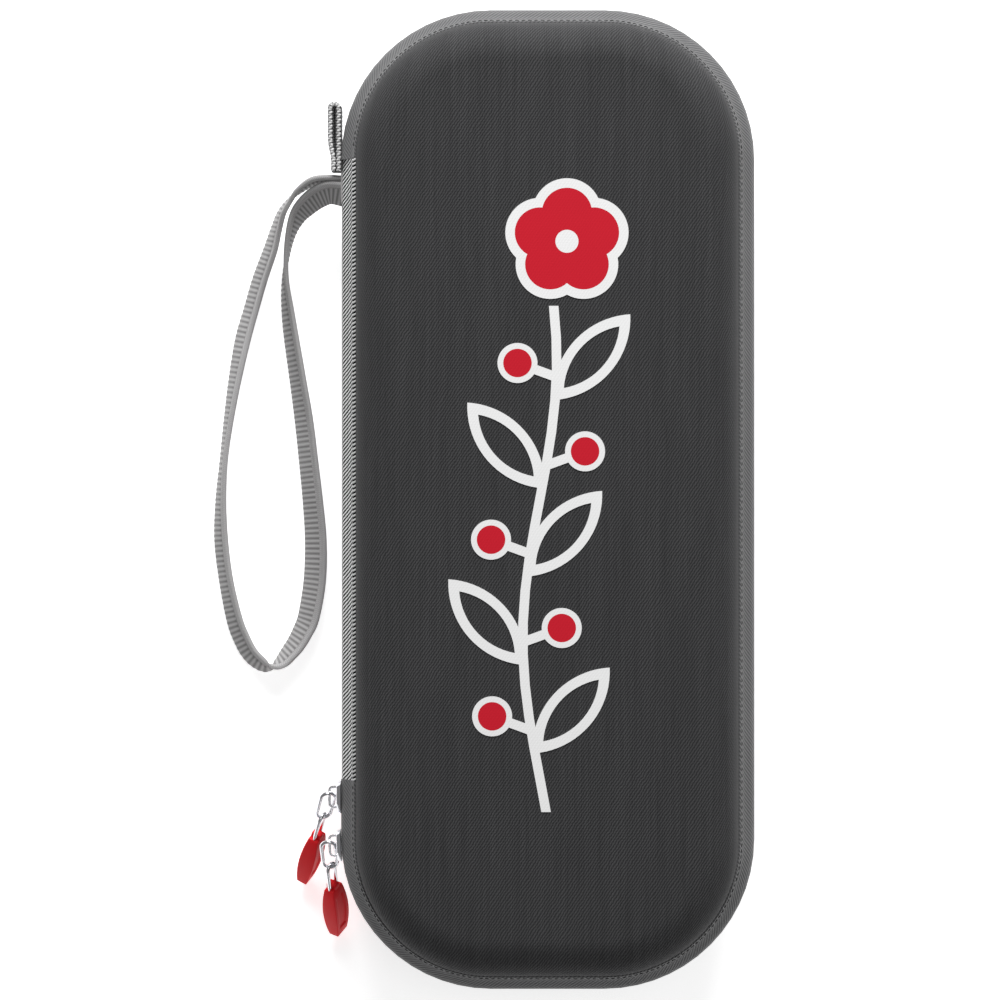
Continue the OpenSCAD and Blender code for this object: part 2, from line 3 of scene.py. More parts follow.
import bmesh
import bpy
from mathutils import Matrix, Vector
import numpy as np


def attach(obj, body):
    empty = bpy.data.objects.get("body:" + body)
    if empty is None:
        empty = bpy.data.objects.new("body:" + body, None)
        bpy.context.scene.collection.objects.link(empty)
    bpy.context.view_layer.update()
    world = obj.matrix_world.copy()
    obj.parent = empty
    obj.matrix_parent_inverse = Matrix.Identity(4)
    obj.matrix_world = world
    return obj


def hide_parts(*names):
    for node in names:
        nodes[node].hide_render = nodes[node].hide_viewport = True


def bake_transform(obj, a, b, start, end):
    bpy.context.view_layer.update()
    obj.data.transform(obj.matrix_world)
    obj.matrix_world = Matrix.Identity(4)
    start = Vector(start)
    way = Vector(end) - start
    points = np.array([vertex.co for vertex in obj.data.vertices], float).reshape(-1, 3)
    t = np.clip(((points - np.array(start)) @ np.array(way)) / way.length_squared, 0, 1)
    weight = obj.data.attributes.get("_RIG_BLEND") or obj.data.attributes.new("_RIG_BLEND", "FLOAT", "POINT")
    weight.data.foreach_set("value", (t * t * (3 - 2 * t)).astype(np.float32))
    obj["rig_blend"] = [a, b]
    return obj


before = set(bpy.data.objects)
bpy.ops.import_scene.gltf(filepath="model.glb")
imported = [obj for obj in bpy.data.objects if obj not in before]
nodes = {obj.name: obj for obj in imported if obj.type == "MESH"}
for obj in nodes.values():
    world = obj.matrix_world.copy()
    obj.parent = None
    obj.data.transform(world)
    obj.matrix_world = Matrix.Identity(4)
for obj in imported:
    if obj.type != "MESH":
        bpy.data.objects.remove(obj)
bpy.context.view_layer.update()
print("frame loaded:", len(nodes), "nodes")

# Shapes are worked out in millimetres and become metres in finishPiece
mm = 0.001
case = {
    "halfWidth": 62,
    "halfLength": 147,
    "halfHeight": 27.5,
    "corner": 45,
    "wallSet": 4,
    "draft": math.radians(6),
    "shoulder": 12,
    "rim": 3,
    "shell": 5,
    "ribbonLow": -84,
}
cornerX = case["halfWidth"] - case["corner"]
cornerY = case["halfLength"] - case["corner"]
spineX = -case["halfWidth"]


def wallU(height, depth=0):
    lean = (height - case["rim"]) * math.tan(case["draft"])
    return -case["wallSet"] - lean - depth / math.cos(case["draft"])


def shoulderArc(depth, steps):
    r = case["shoulder"]
    h = case["halfHeight"] - r
    lean = (h + r * math.sin(case["draft"]) - case["rim"]) * math.tan(case["draft"])
    u = -case["wallSet"] - lean - r * math.cos(case["draft"])
    arc = []
    for i in range(steps + 1):
        a = case["draft"] + (math.pi / 2 - case["draft"]) * i / steps
        arc.append((u + (r - depth) * math.cos(a), h + (r - depth) * math.sin(a)))
    return arc


# Short ways to place shader nodes


def openGroup(name, inputs, outputs):
    # a node group that takes a vector and named numbers, with its two ends
    g = bpy.data.node_groups.new(name, "ShaderNodeTree")
    g.interface.new_socket("Vector", in_out="INPUT", socket_type="NodeSocketVector")
    for key, value in inputs.items():
        item = g.interface.new_socket(key, in_out="INPUT", socket_type="NodeSocketFloat")
        item.default_value = value
    for key in outputs:
        g.interface.new_socket(key, in_out="OUTPUT", socket_type="NodeSocketFloat")
    return g, g.nodes.new("NodeGroupInput"), g.nodes.new("NodeGroupOutput")


def mathNode(tree, operation, a, b=None, c=None, clamp=False):
    n = tree.nodes.new("ShaderNodeMath")
    n.operation = operation
    n.use_clamp = clamp
    for i, v in enumerate((a, b, c)):
        if v is None:
            continue
        if isinstance(v, (int, float)):
            n.inputs[i].default_value = v
        else:
            tree.links.new(v, n.inputs[i])
    return n.outputs[0]


def noiseNode(tree, vector, scale, detail=2.0, stretch=(1, 1, 1)):
    mapping = tree.nodes.new("ShaderNodeMapping")
    mapping.inputs["Scale"].default_value = stretch
    tree.links.new(vector, mapping.inputs["Vector"])
    n = tree.nodes.new("ShaderNodeTexNoise")
    n.inputs["Scale"].default_value = scale
    n.inputs["Detail"].default_value = detail
    tree.links.new(mapping.outputs[0], n.inputs["Vector"])
    return n.outputs["Fac"]


def splitVector(tree, vector):
    n = tree.nodes.new("ShaderNodeSeparateXYZ")
    tree.links.new(vector, n.inputs[0])
    return n.outputs[0], n.outputs[1]


def waveOf(tree, value, pitch):
    # a smooth 0 to 1 wave of the given pitch
    if isinstance(pitch, (int, float)):
        phase = mathNode(tree, "MULTIPLY", value, 2 * math.pi / pitch)
    else:
        turns = mathNode(tree, "DIVIDE", value, pitch)
        phase = mathNode(tree, "MULTIPLY", turns, 2 * math.pi)
    s = mathNode(tree, "SINE", phase)
    return mathNode(tree, "MULTIPLY_ADD", s, 0.5, 0.5)


twillPattern = {
    "slant": math.radians(57),
    "wobble": 0.9,
    "yarnPitch": 0.52,
    "pickPitch": 0.47,
    "waleShare": 0.6,
    "beadShare": 0.5,
    "fuzz": 0.35,
}


def makeTwillGroup():
    s = twillPattern
    g, start, end = openGroup("twillCloth", {"Pitch": 0.9}, ("Height", "Streak"))
    vector = start.outputs["Vector"]
    wobble = noiseNode(g, vector, 0.35, 2, (1, 1, 0))
    x, y = splitVector(g, vector)
    sideways = mathNode(g, "MULTIPLY", x, math.sin(s["slant"]))
    upwards = mathNode(g, "MULTIPLY", y, math.cos(s["slant"]))
    acrossLine = mathNode(g, "SUBTRACT", sideways, upwards)
    acrossLine = mathNode(g, "ADD", acrossLine, mathNode(g, "MULTIPLY", wobble, s["wobble"]))
    wale = waveOf(g, acrossLine, start.outputs["Pitch"])
    yarn = waveOf(g, x, s["yarnPitch"])
    pick = waveOf(g, y, s["pickPitch"])
    beads = mathNode(g, "MULTIPLY", yarn, pick)
    fuzz = noiseNode(g, vector, 3.1, 3, (1, 1, 0))
    height = mathNode(g, "MULTIPLY_ADD", beads, s["beadShare"], mathNode(g, "MULTIPLY", wale, s["waleShare"]))
    height = mathNode(g, "MULTIPLY_ADD", fuzz, s["fuzz"], mathNode(g, "SUBTRACT", height, 0.17), clamp=True)
    slubs = noiseNode(g, vector, 1.0, 3, (0.9, 0.035, 0))
    long = noiseNode(g, vector, 1.0, 2, (0.16, 0.012, 0))
    streak = mathNode(g, "ADD", mathNode(g, "MULTIPLY", slubs, 0.6), mathNode(g, "MULTIPLY", long, 0.4))
    g.links.new(height, end.inputs["Height"])
    g.links.new(streak, end.inputs["Streak"])
    return g


def makeRibGroup():
    g, start, end = openGroup("ribbedWeave", {"Rib": 1.9, "Zigzag": 0.0, "Lane": 3.0}, ("Height",))
    vector = start.outputs["Vector"]
    along, across = splitVector(g, vector)
    lane = mathNode(g, "PINGPONG", across, start.outputs["Lane"])
    shift = mathNode(g, "MULTIPLY", lane, start.outputs["Zigzag"])
    bend = mathNode(g, "ADD", along, shift)
    ribs = waveOf(g, bend, start.outputs["Rib"])
    yarns = waveOf(g, across, 0.44)
    fuzz = noiseNode(g, vector, 2.6, 3)
    height = mathNode(g, "MULTIPLY_ADD", yarns, 0.22, mathNode(g, "MULTIPLY", ribs, 0.78))
    height = mathNode(g, "MULTIPLY_ADD", fuzz, 0.3, mathNode(g, "SUBTRACT", height, 0.15), clamp=True)
    g.links.new(height, end.inputs["Height"])
    return g


checkerPattern = {
    "lane": 2.3,
    "slope": -0.55,
    "gapShare": 0.3,
    "fuzz": 0.3,
    "darkTo": 0.38,
    "lightFrom": 0.54,
}


def makeCheckerGroup():
    s = checkerPattern
    g, start, end = openGroup("saltAndPepper", {"Pitch": 1.05}, ("Height", "Light"))
    vector = start.outputs["Vector"]
    along, across = splitVector(g, vector)
    lane = mathNode(g, "WRAP", across, s["lane"], 0.0)
    slope = mathNode(g, "MULTIPLY_ADD", lane, s["slope"], along)
    diagonal = waveOf(g, slope, start.outputs["Pitch"])
    gaps = waveOf(g, across, s["lane"])
    ridge = mathNode(g, "MULTIPLY_ADD", gaps, s["gapShare"], 1 - s["gapShare"])
    blobs = mathNode(g, "MULTIPLY", diagonal, ridge)
    fuzz = noiseNode(g, vector, 1.7, 3)
    light = mathNode(g, "ADD", blobs, mathNode(g, "MULTIPLY_ADD", fuzz, s["fuzz"], -s["fuzz"] / 2))
    edge = g.nodes.new("ShaderNodeMapRange")
    edge.interpolation_type = "SMOOTHSTEP"
    edge.inputs["From Min"].default_value = s["darkTo"]
    edge.inputs["From Max"].default_value = s["lightFrom"]
    g.links.new(light, edge.inputs["Value"])
    g.links.new(blobs, end.inputs["Height"])
    g.links.new(edge.outputs["Result"], end.inputs["Light"])
    return g


def makeDustGroup():
    g, start, end = openGroup("handling", {"Scale": 40.0}, ("Patch",))
    n = g.nodes.new("ShaderNodeTexNoise")
    n.inputs["Detail"].default_value = 3
    g.links.new(start.outputs["Scale"], n.inputs["Scale"])
    g.links.new(start.outputs["Vector"], n.inputs["Vector"])
    g.links.new(n.outputs["Fac"], end.inputs["Patch"])
    return g


groups = {
    "twill": makeTwillGroup(),
    "rib": makeRibGroup(),
    "checker": makeCheckerGroup(),
    "handling": makeDustGroup(),
}


def startMaterial(name, roughness, metallic=0.0):
    mat = bpy.data.materials.new(name)
    mat.use_nodes = True
    tree = mat.node_tree
    shader = tree.nodes["Principled BSDF"]
    shader.inputs["Roughness"].default_value = roughness
    shader.inputs["Metallic"].default_value = metallic
    return mat, tree, shader


def addGroup(tree, key, vector, **values):
    n = tree.nodes.new("ShaderNodeGroup")
    n.node_tree = groups[key]
    tree.links.new(vector, n.inputs["Vector"])
    for name, value in values.items():
        n.inputs[name].default_value = value
    return n


def mixColour(tree, factor, dark, light):
    n = tree.nodes.new("ShaderNodeMix")
    n.data_type = "RGBA"
    n.clamp_factor = True
    tree.links.new(factor, n.inputs["Factor"])
    for key, value in (("A", dark), ("B", light)):
        slot = [s for s in n.inputs if s.name == key and s.type == "RGBA"][0]
        if isinstance(value, (tuple, list)):
            slot.default_value = (*value, 1)
        else:
            tree.links.new(value, slot)
    return [s for s in n.outputs if s.type == "RGBA"][0]


def addBump(tree, shader, height, distance, strength):
    n = tree.nodes.new("ShaderNodeBump")
    n.inputs["Distance"].default_value = distance
    n.inputs["Strength"].default_value = strength
    tree.links.new(height, n.inputs["Height"])
    tree.links.new(n.outputs["Normal"], shader.inputs["Normal"])


def threadVector(tree):
    # the cloth's own map, in millimetres
    n = tree.nodes.new("ShaderNodeUVMap")
    n.uv_map = "thread"
    return n.outputs["UV"]


def placeVector(tree):
    # the object's own place, in millimetres
    coord = tree.nodes.new("ShaderNodeTexCoord")
    mapping = tree.nodes.new("ShaderNodeMapping")
    mapping.inputs["Scale"].default_value = (1000, 1000, 1000)
    tree.links.new(coord.outputs["Object"], mapping.inputs["Vector"])
    return mapping.outputs[0]


coverCloth = {
    "dark": (0.008, 0.008, 0.009),
    "light": (0.088, 0.088, 0.091),
    "pitch": 0.8,
    "bump": 0.00018,
    "streakFrom": 0.3,
    "streakTo": 0.7,
    "streakDark": 0.42,
}


def makeCoverCloth():
    s = coverCloth
    mat, tree, shader = startMaterial("coverTwill", 0.78)
    vector = threadVector(tree)
    twill = addGroup(tree, "twill", vector, Pitch=s["pitch"])
    base = mixColour(tree, twill.outputs["Height"], s["dark"], s["light"])
    shade = tree.nodes.new("ShaderNodeMapRange")
    shade.inputs["From Min"].default_value = s["streakFrom"]
    shade.inputs["From Max"].default_value = s["streakTo"]
    shade.inputs["To Max"].default_value = s["streakDark"]
    tree.links.new(twill.outputs["Streak"], shade.inputs["Value"])
    colour = mixColour(tree, shade.outputs["Result"], base, s["dark"])
    tree.links.new(colour, shader.inputs["Base Color"])
    addBump(tree, shader, twill.outputs["Height"], s["bump"], 0.7)
    shader.inputs["Specular IOR Level"].default_value = 0.3
    return mat


def makeWeave(name, dark, light, rib, zigzag=0.0, lane=3.0, bump=0.0002, roughness=0.8, sheen=0.15):
    mat, tree, shader = startMaterial(name, roughness)
    vector = threadVector(tree)
    weave = addGroup(tree, "rib", vector, Rib=rib, Zigzag=zigzag, Lane=lane)
    patch = addGroup(tree, "handling", vector, Scale=0.05)
    tone = mathNode(tree, "MULTIPLY_ADD", patch.outputs["Patch"], 0.3, -0.15)
    factor = mathNode(tree, "ADD", weave.outputs["Height"], tone, clamp=True)
    tree.links.new(mixColour(tree, factor, dark, light), shader.inputs["Base Color"])
    addBump(tree, shader, weave.outputs["Height"], bump, 0.8)
    shader.inputs["Sheen Weight"].default_value = sheen
    shader.inputs["Sheen Roughness"].default_value = 0.45
    shader.inputs["Specular IOR Level"].default_value = 0.3
    return mat


ribbonCloth = {"dark": (0.008, 0.008, 0.009), "light": (0.86, 0.86, 0.86), "pitch": 1.25, "bump": 0.00025}


def makeRibbonCloth():
    s = ribbonCloth
    mat, tree, shader = startMaterial("spineWeave", 0.75)
    weave = addGroup(tree, "checker", threadVector(tree), Pitch=s["pitch"])
    colour = mixColour(tree, weave.outputs["Light"], s["dark"], s["light"])
    tree.links.new(colour, shader.inputs["Base Color"])
    addBump(tree, shader, weave.outputs["Height"], s["bump"], 0.8)
    shader.inputs["Specular IOR Level"].default_value = 0.3
    return mat


def makePlain(name, colour, roughness, grain=0.0, metallic=0.0, wear=0.1):
    # colour and gloss vary a little in patches, and a fine grain may roughen the surface
    mat, tree, shader = startMaterial(name, roughness, metallic)
    spots = addGroup(tree, "handling", placeVector(tree), Scale=0.06)
    darker = tuple(c * (1 - wear) for c in colour)
    lighter = tuple(min(1, c * (1 + wear)) for c in colour)
    tree.links.new(mixColour(tree, spots.outputs["Patch"], darker, lighter), shader.inputs["Base Color"])
    rough = mathNode(tree, "MULTIPLY_ADD", spots.outputs["Patch"], 0.2, roughness - 0.1, clamp=True)
    tree.links.new(rough, shader.inputs["Roughness"])
    if grain:
        fine = addGroup(tree, "handling", placeVector(tree), Scale=0.9)
        addBump(tree, shader, fine.outputs["Patch"], grain, 0.6)
    return mat


def makePrint(name, colour):
    # screen print: the twill still shows faintly through the film
    mat, tree, shader = startMaterial(name, 0.6)
    shader.inputs["Specular IOR Level"].default_value = 0.2
    vector = placeVector(tree)
    twill = addGroup(tree, "twill", vector, Pitch=coverCloth["pitch"])
    spots = addGroup(tree, "handling", vector, Scale=0.08)
    patchHalf = mathNode(tree, "MULTIPLY", spots.outputs["Patch"], 0.5)
    tone = mathNode(tree, "MULTIPLY_ADD", twill.outputs["Height"], 0.5, patchHalf)
    dark = tuple(c * 0.9 for c in colour)
    tree.links.new(mixColour(tree, tone, dark, colour), shader.inputs["Base Color"])
    addBump(tree, shader, twill.outputs["Height"], 0.00004, 0.6)
    return mat


darkest = (0.010, 0.010, 0.011)
mats = {
    "cover": makeCoverCloth(),
    "zipTape": makeWeave(
        "zipTapeWeave", (0.060, 0.060, 0.062), (0.185, 0.185, 0.188), 1.25, -0.9, 60, bump=0.00015
    ),
    "ribbon": makeRibbonCloth(),
    "strap": makeWeave("strapWebbing", (0.16, 0.156, 0.157), (0.50, 0.494, 0.495), 1.57, bump=0.00012),
    "strapEdge": makeWeave(
        "strapSelvedge", (0.30, 0.294, 0.296), (0.46, 0.453, 0.456), 0.55, 0.5, 0.8, bump=0.00005
    ),
    "braid": makeWeave("tabBraid", (0.2, 0.2, 0.2), (0.80, 0.80, 0.80), 0.8, lane=1, bump=0.0001),
    "binding": makeWeave(
        "bindingTape", (0.012, 0.012, 0.013), (0.05, 0.05, 0.052), 0.8, lane=1, bump=0.00015
    ),
    "elastic": makeWeave("elasticWeave", darkest, (0.045, 0.045, 0.047), 1.1, lane=2),
    "lining": makeWeave(
        "liningCloth", (0.013, 0.013, 0.014), (0.04, 0.04, 0.042), 0.7, 1.0, 0.7,
        bump=0.00012, roughness=0.9, sheen=0.3,
    ),
    "netting": makeWeave("pocketNet", darkest, (0.04, 0.04, 0.042), 0.5, lane=1, bump=0.00005),
    "coil": makePlain("coilNylon", (0.014, 0.014, 0.015), 0.42),
    "thread": makePlain("stitchThread", (0.012, 0.012, 0.012), 0.7),
    "foam": makePlain("evaFoam", (0.02, 0.02, 0.02), 0.85, grain=0.0001),
    "nickel": makePlain("nickelPlate", (0.80, 0.80, 0.83), 0.16, metallic=1.0, wear=0.04),
    "grip": makePlain("gripRubber", (0.82, 0.013, 0.02), 0.5, grain=0.00002, wear=0.08),
    "printWhite": makePrint("whiteInk", (0.90, 0.90, 0.90)),
    "printRed": makePrint("redInk", (0.60, 0.006, 0.022)),
}
mats["grip"].node_tree.nodes["Principled BSDF"].inputs["Specular IOR Level"].default_value = 0.15
print("materials ready:", len(mats))

# Sections pulled along frames, and how a mesh is finished


def finishPiece(bm, name, mat, sharp=35, outwards=True):
    if outwards:
        bmesh.ops.recalc_face_normals(bm, faces=bm.faces[:])
    bmesh.ops.scale(bm, vec=(mm, mm, mm), verts=bm.verts[:])
    mesh = bpy.data.meshes.new(name)
    bm.to_mesh(mesh)
    bm.free()
    mesh.materials.append(mat)
    mesh.shade_smooth()
    mesh.set_sharp_from_angle(angle=math.radians(sharp))
    piece = bpy.data.objects.new(name, mesh)
    bpy.context.scene.collection.objects.link(piece)
    return piece


def roundEdges(bm, edges, offset, segments, clamp=False):
    bmesh.ops.bevel(
        bm, geom=edges, offset=offset, offset_type="OFFSET", segments=segments, profile=0.5,
        affect="EDGES", material=-1, clamp_overlap=clamp,
    )


def runThrough(section, frames, closed=True, loop=False):
    # pulls a section (local x and z) through frames whose local y is the way on
    bm = bmesh.new()
    along = bm.verts.layers.float.new("along")
    across = bm.verts.layers.float.new("across")
    ring = []
    reach = 0
    for i, (a, b) in enumerate(section):
        if i:
            reach += math.dist(section[i - 1], section[i])
        v = bm.verts.new(frames[0] @ Vector((a, 0, b)))
        v[across] = reach
        ring.append(v)
    girth = reach + (math.dist(section[-1], section[0]) if closed else 0)
    edges = [bm.edges.new((ring[i], ring[i + 1])) for i in range(len(ring) - 1)]
    if closed:
        edges.append(bm.edges.new((ring[-1], ring[0])))
        if not loop:
            bmesh.ops.contextual_create(bm, geom=edges)
    way = 0
    for i in range(1, len(frames)):
        made = bmesh.ops.extrude_edge_only(bm, edges=edges)["geom"]
        verts = [g for g in made if isinstance(g, bmesh.types.BMVert)]
        edges = [g for g in made if isinstance(g, bmesh.types.BMEdge)]
        step = frames[i] @ frames[i - 1].inverted()
        way += (frames[i].translation - frames[i - 1].translation).length
        bmesh.ops.transform(bm, matrix=step, verts=verts)
        for v in verts:
            v[along] = way
    if closed and not loop:
        bmesh.ops.contextual_create(bm, geom=edges)
    layThread(bm, girth)
    if loop:
        bmesh.ops.remove_doubles(bm, verts=bm.verts[:], dist=0.002)
    return bm


def layThread(bm, girth):
    along = bm.verts.layers.float["along"]
    across = bm.verts.layers.float["across"]
    uv = bm.loops.layers.uv.new("thread")
    for face in bm.faces:
        far = max(loop.vert[across] for loop in face.loops)
        for loop in face.loops:
            t = loop.vert[across]
            if t == 0 and far > girth / 2:
                t = girth
            loop[uv].uv = (loop.vert[along], t)


def frameAt(x, y, turn, z=None):
    z = case["halfHeight"] if z is None else z
    return Matrix.Translation((x, y, z)) @ Matrix.Rotation(turn, 4, "Z")


def roundOutline(cuts=14):
    # frames once round the outline from the right side's lower end
    frames = []
    for k, (sx, sy) in enumerate(((1, 1), (-1, 1), (-1, -1), (1, -1))):
        first = k * math.pi / 2
        if k == 0:
            frames.append(frameAt(cornerX + case["corner"], -cornerY, 0))
        for i in range(cuts + 1):
            frames.append(onCorner(sx, sy, first + math.pi / 2 * i / cuts))
    return frames


def onCorner(sx, sy, angle):
    # frame on a corner arc of the outline, on the side that sx and sy name
    x = sx * cornerX + case["corner"] * math.cos(angle)
    y = sy * cornerY + case["corner"] * math.sin(angle)
    return frameAt(x, y, angle)


def zipPlace(way):
    # frame on the zip's path at a distance from the ribbon's lower end
    quarter = math.pi / 2 * case["corner"]
    lead = case["ribbonLow"] + cornerY
    if way < lead:
        return frameAt(spineX, case["ribbonLow"] - way, math.pi)
    way -= lead
    stretches = (
        (-1, -1, math.pi, 2 * cornerX, (1, 0)),
        (1, -1, 1.5 * math.pi, 2 * cornerY, (0, 1)),
        (1, 1, 0, 2 * cornerX, (-1, 0)),
    )
    for sx, sy, first, run, (dx, dy) in stretches:
        if way < quarter:
            return onCorner(sx, sy, first + way / case["corner"])
        way -= quarter
        if way < run:
            return Matrix.Translation((dx * way, dy * way, 0)) @ onCorner(sx, sy, first + math.pi / 2)
        way -= run
    return onCorner(-1, 1, math.pi / 2 + min(way, quarter) / case["corner"])


zipLength = case["ribbonLow"] + cornerY + 2 * math.pi * case["corner"] + 4 * cornerX + 2 * cornerY


def zipFrames(cuts=14):
    quarter = math.pi / 2 * case["corner"]
    marks = [0]
    way = case["ribbonLow"] + cornerY
    for run in (2 * cornerX, 2 * cornerY, 2 * cornerX, 0):
        marks += [way + quarter * i / cuts for i in range(cuts + 1)]
        way += quarter + run
    return [zipPlace(m + 1e-6) for m in marks]


def onSide(profile, up):
    return [(u, up * h) for u, h in profile]


# Shells: cover cloth and lining, laid over the moulded core

shellPiece = {"arcSteps": 18, "flat": 9, "coverThick": 0.8, "liningThick": 0.6}


def shellProfile(depth):
    arc = shoulderArc(depth, shellPiece["arcSteps"])
    arc.reverse()
    top = case["halfHeight"] - depth
    edge = (arc[0][0] - shellPiece["flat"], top)
    low = case["rim"]
    heights = [low + (arc[-1][1] - low) * t for t in (0.66, 0.33, 0)]
    return [edge] + arc + [(wallU(h, depth), h) for h in heights]


def makeShell(name, depth, thickness, up, mat, replaced, body):
    profile = shellProfile(depth)
    bm = runThrough(onSide(profile, up), roundOutline(20), closed=False, loop=True)
    top = up * (case["halfHeight"] - depth) + case["halfHeight"]
    rimEdges = [
        e for e in bm.edges if e.is_boundary and all(abs(v.co.z - top) < 0.01 for v in e.verts)
    ]
    bmesh.ops.contextual_create(bm, geom=rimEdges)
    uv = bm.loops.layers.uv["thread"]
    across = bm.verts.layers.float["across"]
    inner = case["corner"] + profile[0][0]
    for face in bm.faces:
        for loop in face.loops:
            co = loop.vert.co
            hub = Vector((max(-cornerX, min(cornerX, co.x)), max(-cornerY, min(cornerY, co.y))))
            out = (co.xy - hub).normalized() if (co.xy - hub).length > 0.01 else Vector((0, 0))
            flatPlace = hub + out * (inner + loop.vert[across])
            loop[uv].uv = flatPlace if len(face.verts) < 9 else co.xy
    bmesh.ops.recalc_face_normals(bm, faces=bm.faces[:])
    panel = max(bm.faces, key=lambda f: f.calc_area())
    outward = up if depth == 0 else -up
    if panel.normal.z * outward < 0:
        bmesh.ops.reverse_faces(bm, faces=bm.faces[:])
    piece = finishPiece(bm, name, mat, 50, outwards=False)
    solid = piece.modifiers.new("thickness", "SOLIDIFY")
    solid.thickness = thickness * mm
    solid.offset = -1
    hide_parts(replaced)
    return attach(piece, body)


for body, up in (("lid", 1), ("base", -1)):
    makeShell(
        body + "CoverCloth", 0, shellPiece["coverThick"], up, mats["cover"],
        body + "_cover", body,
    )
    makeShell(
        body + "LiningCloth", case["shell"], shellPiece["liningThick"], up, mats["lining"],
        body + "_lining", body,
    )
print("shells dressed")

# Zip: tapes, coil teeth and running stitches

zipPiece = {
    "tape": 0.7,
    "reach": 11,
    "lift": 8,
    "slit": 1,
    "tooth": (1.75, 0.86, 1.62),
    "toothPitch": 1.3,
    "toothIn": 1.62,
    "toothUp": 1.24,
    "stitchPitch": 1.9,
    "stitchLength": 1.25,
    "stitchRadius": 0.27,
}


def tapeProfile():
    s = zipPiece
    lift = wallU(s["lift"])
    reach = wallU(s["reach"])
    t = s["tape"]
    return [
        (0.02, s["slit"]),
        (0.12, s["slit"] + 0.45),
        (0.02, s["slit"] + 1.3),
        (-0.35, s["slit"] + 2.4),
        (-0.95, s["slit"] + 3.5),
        (lift + 2.6, s["lift"] - 2.4),
        (lift + 1.5, s["lift"] - 1.1),
        (lift + t + 0.25, s["lift"] + 0.1),
        (lift + t - 0.05, s["lift"] + 0.9),
        (reach + t + 0.05, s["reach"] - 0.5),
        (reach + t - 0.2, s["reach"]),
        (reach - 0.02, s["reach"]),
        (lift - 0.02, s["lift"]),
        (lift + 1.1, s["lift"] - 2),
        (-1.6, s["slit"] + 3),
        (-t, s["slit"] + 1.1),
        (-t, s["slit"]),
    ]


def makeTooth():
    bm = bmesh.new()
    bmesh.ops.create_cube(bm, size=1)
    bmesh.ops.scale(bm, vec=zipPiece["tooth"], verts=bm.verts[:])
    outer = [v for v in bm.verts if v.co.x > 0]
    bmesh.ops.scale(bm, vec=(1, 0.8, 0.92), verts=outer)
    roundEdges(bm, bm.edges[:], 0.3, 1)
    return bm


def scatter(source, frames):
    # copies of one small shape at many frames, in one mesh
    bm = bmesh.new()
    seed = bpy.data.meshes.new("seed")
    source.to_mesh(seed)
    source.free()
    for place in frames:
        known = len(bm.verts)
        bm.from_mesh(seed)
        bm.verts.ensure_lookup_table()
        bmesh.ops.transform(bm, matrix=place, verts=bm.verts[known:])
    bpy.data.meshes.remove(seed)
    return bm


def makeStitch(length, radius):
    bm = bmesh.new()
    bmesh.ops.create_uvsphere(bm, u_segments=6, v_segments=5, radius=1)
    bmesh.ops.rotate(bm, verts=bm.verts[:], matrix=Matrix.Rotation(math.pi / 2, 3, "X"))
    bmesh.ops.scale(bm, vec=(radius, length / 2, radius), verts=bm.verts[:])
    return bm


def makeZipHalf(body, up):
    s = zipPiece
    frames = zipFrames()
    tape = finishPiece(runThrough(onSide(tapeProfile(), up), frames), body + "ZipTape", mats["zipTape"], 60)
    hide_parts(body + "_zip_tape")
    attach(tape, body)
    teeth = int(zipLength / s["toothPitch"])
    offset = 0.25 if up > 0 else 0.25 + s["toothPitch"] / 2
    inward = Matrix.Translation((-s["toothIn"], 0, up * s["toothUp"]))
    places = [zipPlace((i + offset) * s["toothPitch"] + 0.4) @ inward for i in range(teeth - 1)]
    coil = finishPiece(scatter(makeTooth(), places), body + "ZipCoil", mats["coil"], 50)
    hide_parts(body + "_zip_coil")
    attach(coil, body)
    height = s["reach"] - 1.15
    lean = Matrix.Rotation(-up * case["draft"], 4, "Y")
    count = int((zipLength - 4) / s["stitchPitch"])
    onTape = Matrix.Translation((wallU(height) + s["tape"] + 0.05, 0, up * height)) @ lean
    rows = [zipPlace(2 + i * s["stitchPitch"]) @ onTape for i in range(count)]
    stitches = scatter(makeStitch(s["stitchLength"], s["stitchRadius"]), rows)
    seam = finishPiece(stitches, body + "ZipStitches", mats["thread"], 80)
    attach(seam, body)


makeZipHalf("lid", 1)
makeZipHalf("base", -1)
print("zip made")

# Rim bindings, folded over the edge of each shell

bindingPiece = {
    "thick": 0.6,
    "reach": 9,
    "bead": 0.35,
    "stitchPitch": 2.6,
    "stitchLength": 1.7,
    "stitchRadius": 0.22,
}


def makeBinding(body, up):
    s = bindingPiece
    rim = case["rim"]
    low = rim - s["thick"]
    depth = case["shell"] + s["thick"]
    profile = [
        (wallU(rim), rim),
        (wallU(rim) - 0.05, low + 0.2),
        (wallU(rim) - 0.3, low),
        (wallU(low, depth) + s["bead"], low),
        (wallU(low, depth) + 0.05, low + 0.15),
        (wallU(low + s["bead"], depth), low + s["bead"]),
        (wallU(6, depth), 6),
        (wallU(s["reach"] - 0.3, depth), s["reach"] - 0.3),
        (wallU(s["reach"], depth - 0.25), s["reach"]),
        (wallU(s["reach"], case["shell"]), s["reach"]),
        (wallU(rim, case["shell"]), rim),
    ]
    bm = runThrough(onSide(profile, up), roundOutline(), loop=True)
    piece = finishPiece(bm, body + "RimBinding", mats["binding"], 50)
    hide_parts(body + "_binding")
    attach(piece, body)
    height = s["reach"] - 1.2
    onWall = Matrix.Translation((wallU(height, depth) - 0.02, 0, up * height))
    frames = []
    outline = roundOutline()
    for a, b in zip(outline, outline[1:]):
        count = int((b.translation - a.translation).length / s["stitchPitch"] + 0.5)
        frames += [a.lerp(b, i / count) @ onWall for i in range(count)]
    stitches = scatter(makeStitch(s["stitchLength"], s["stitchRadius"]), frames)
    seam = finishPiece(stitches, body + "BindingStitches", mats["thread"], 80)
    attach(seam, body)


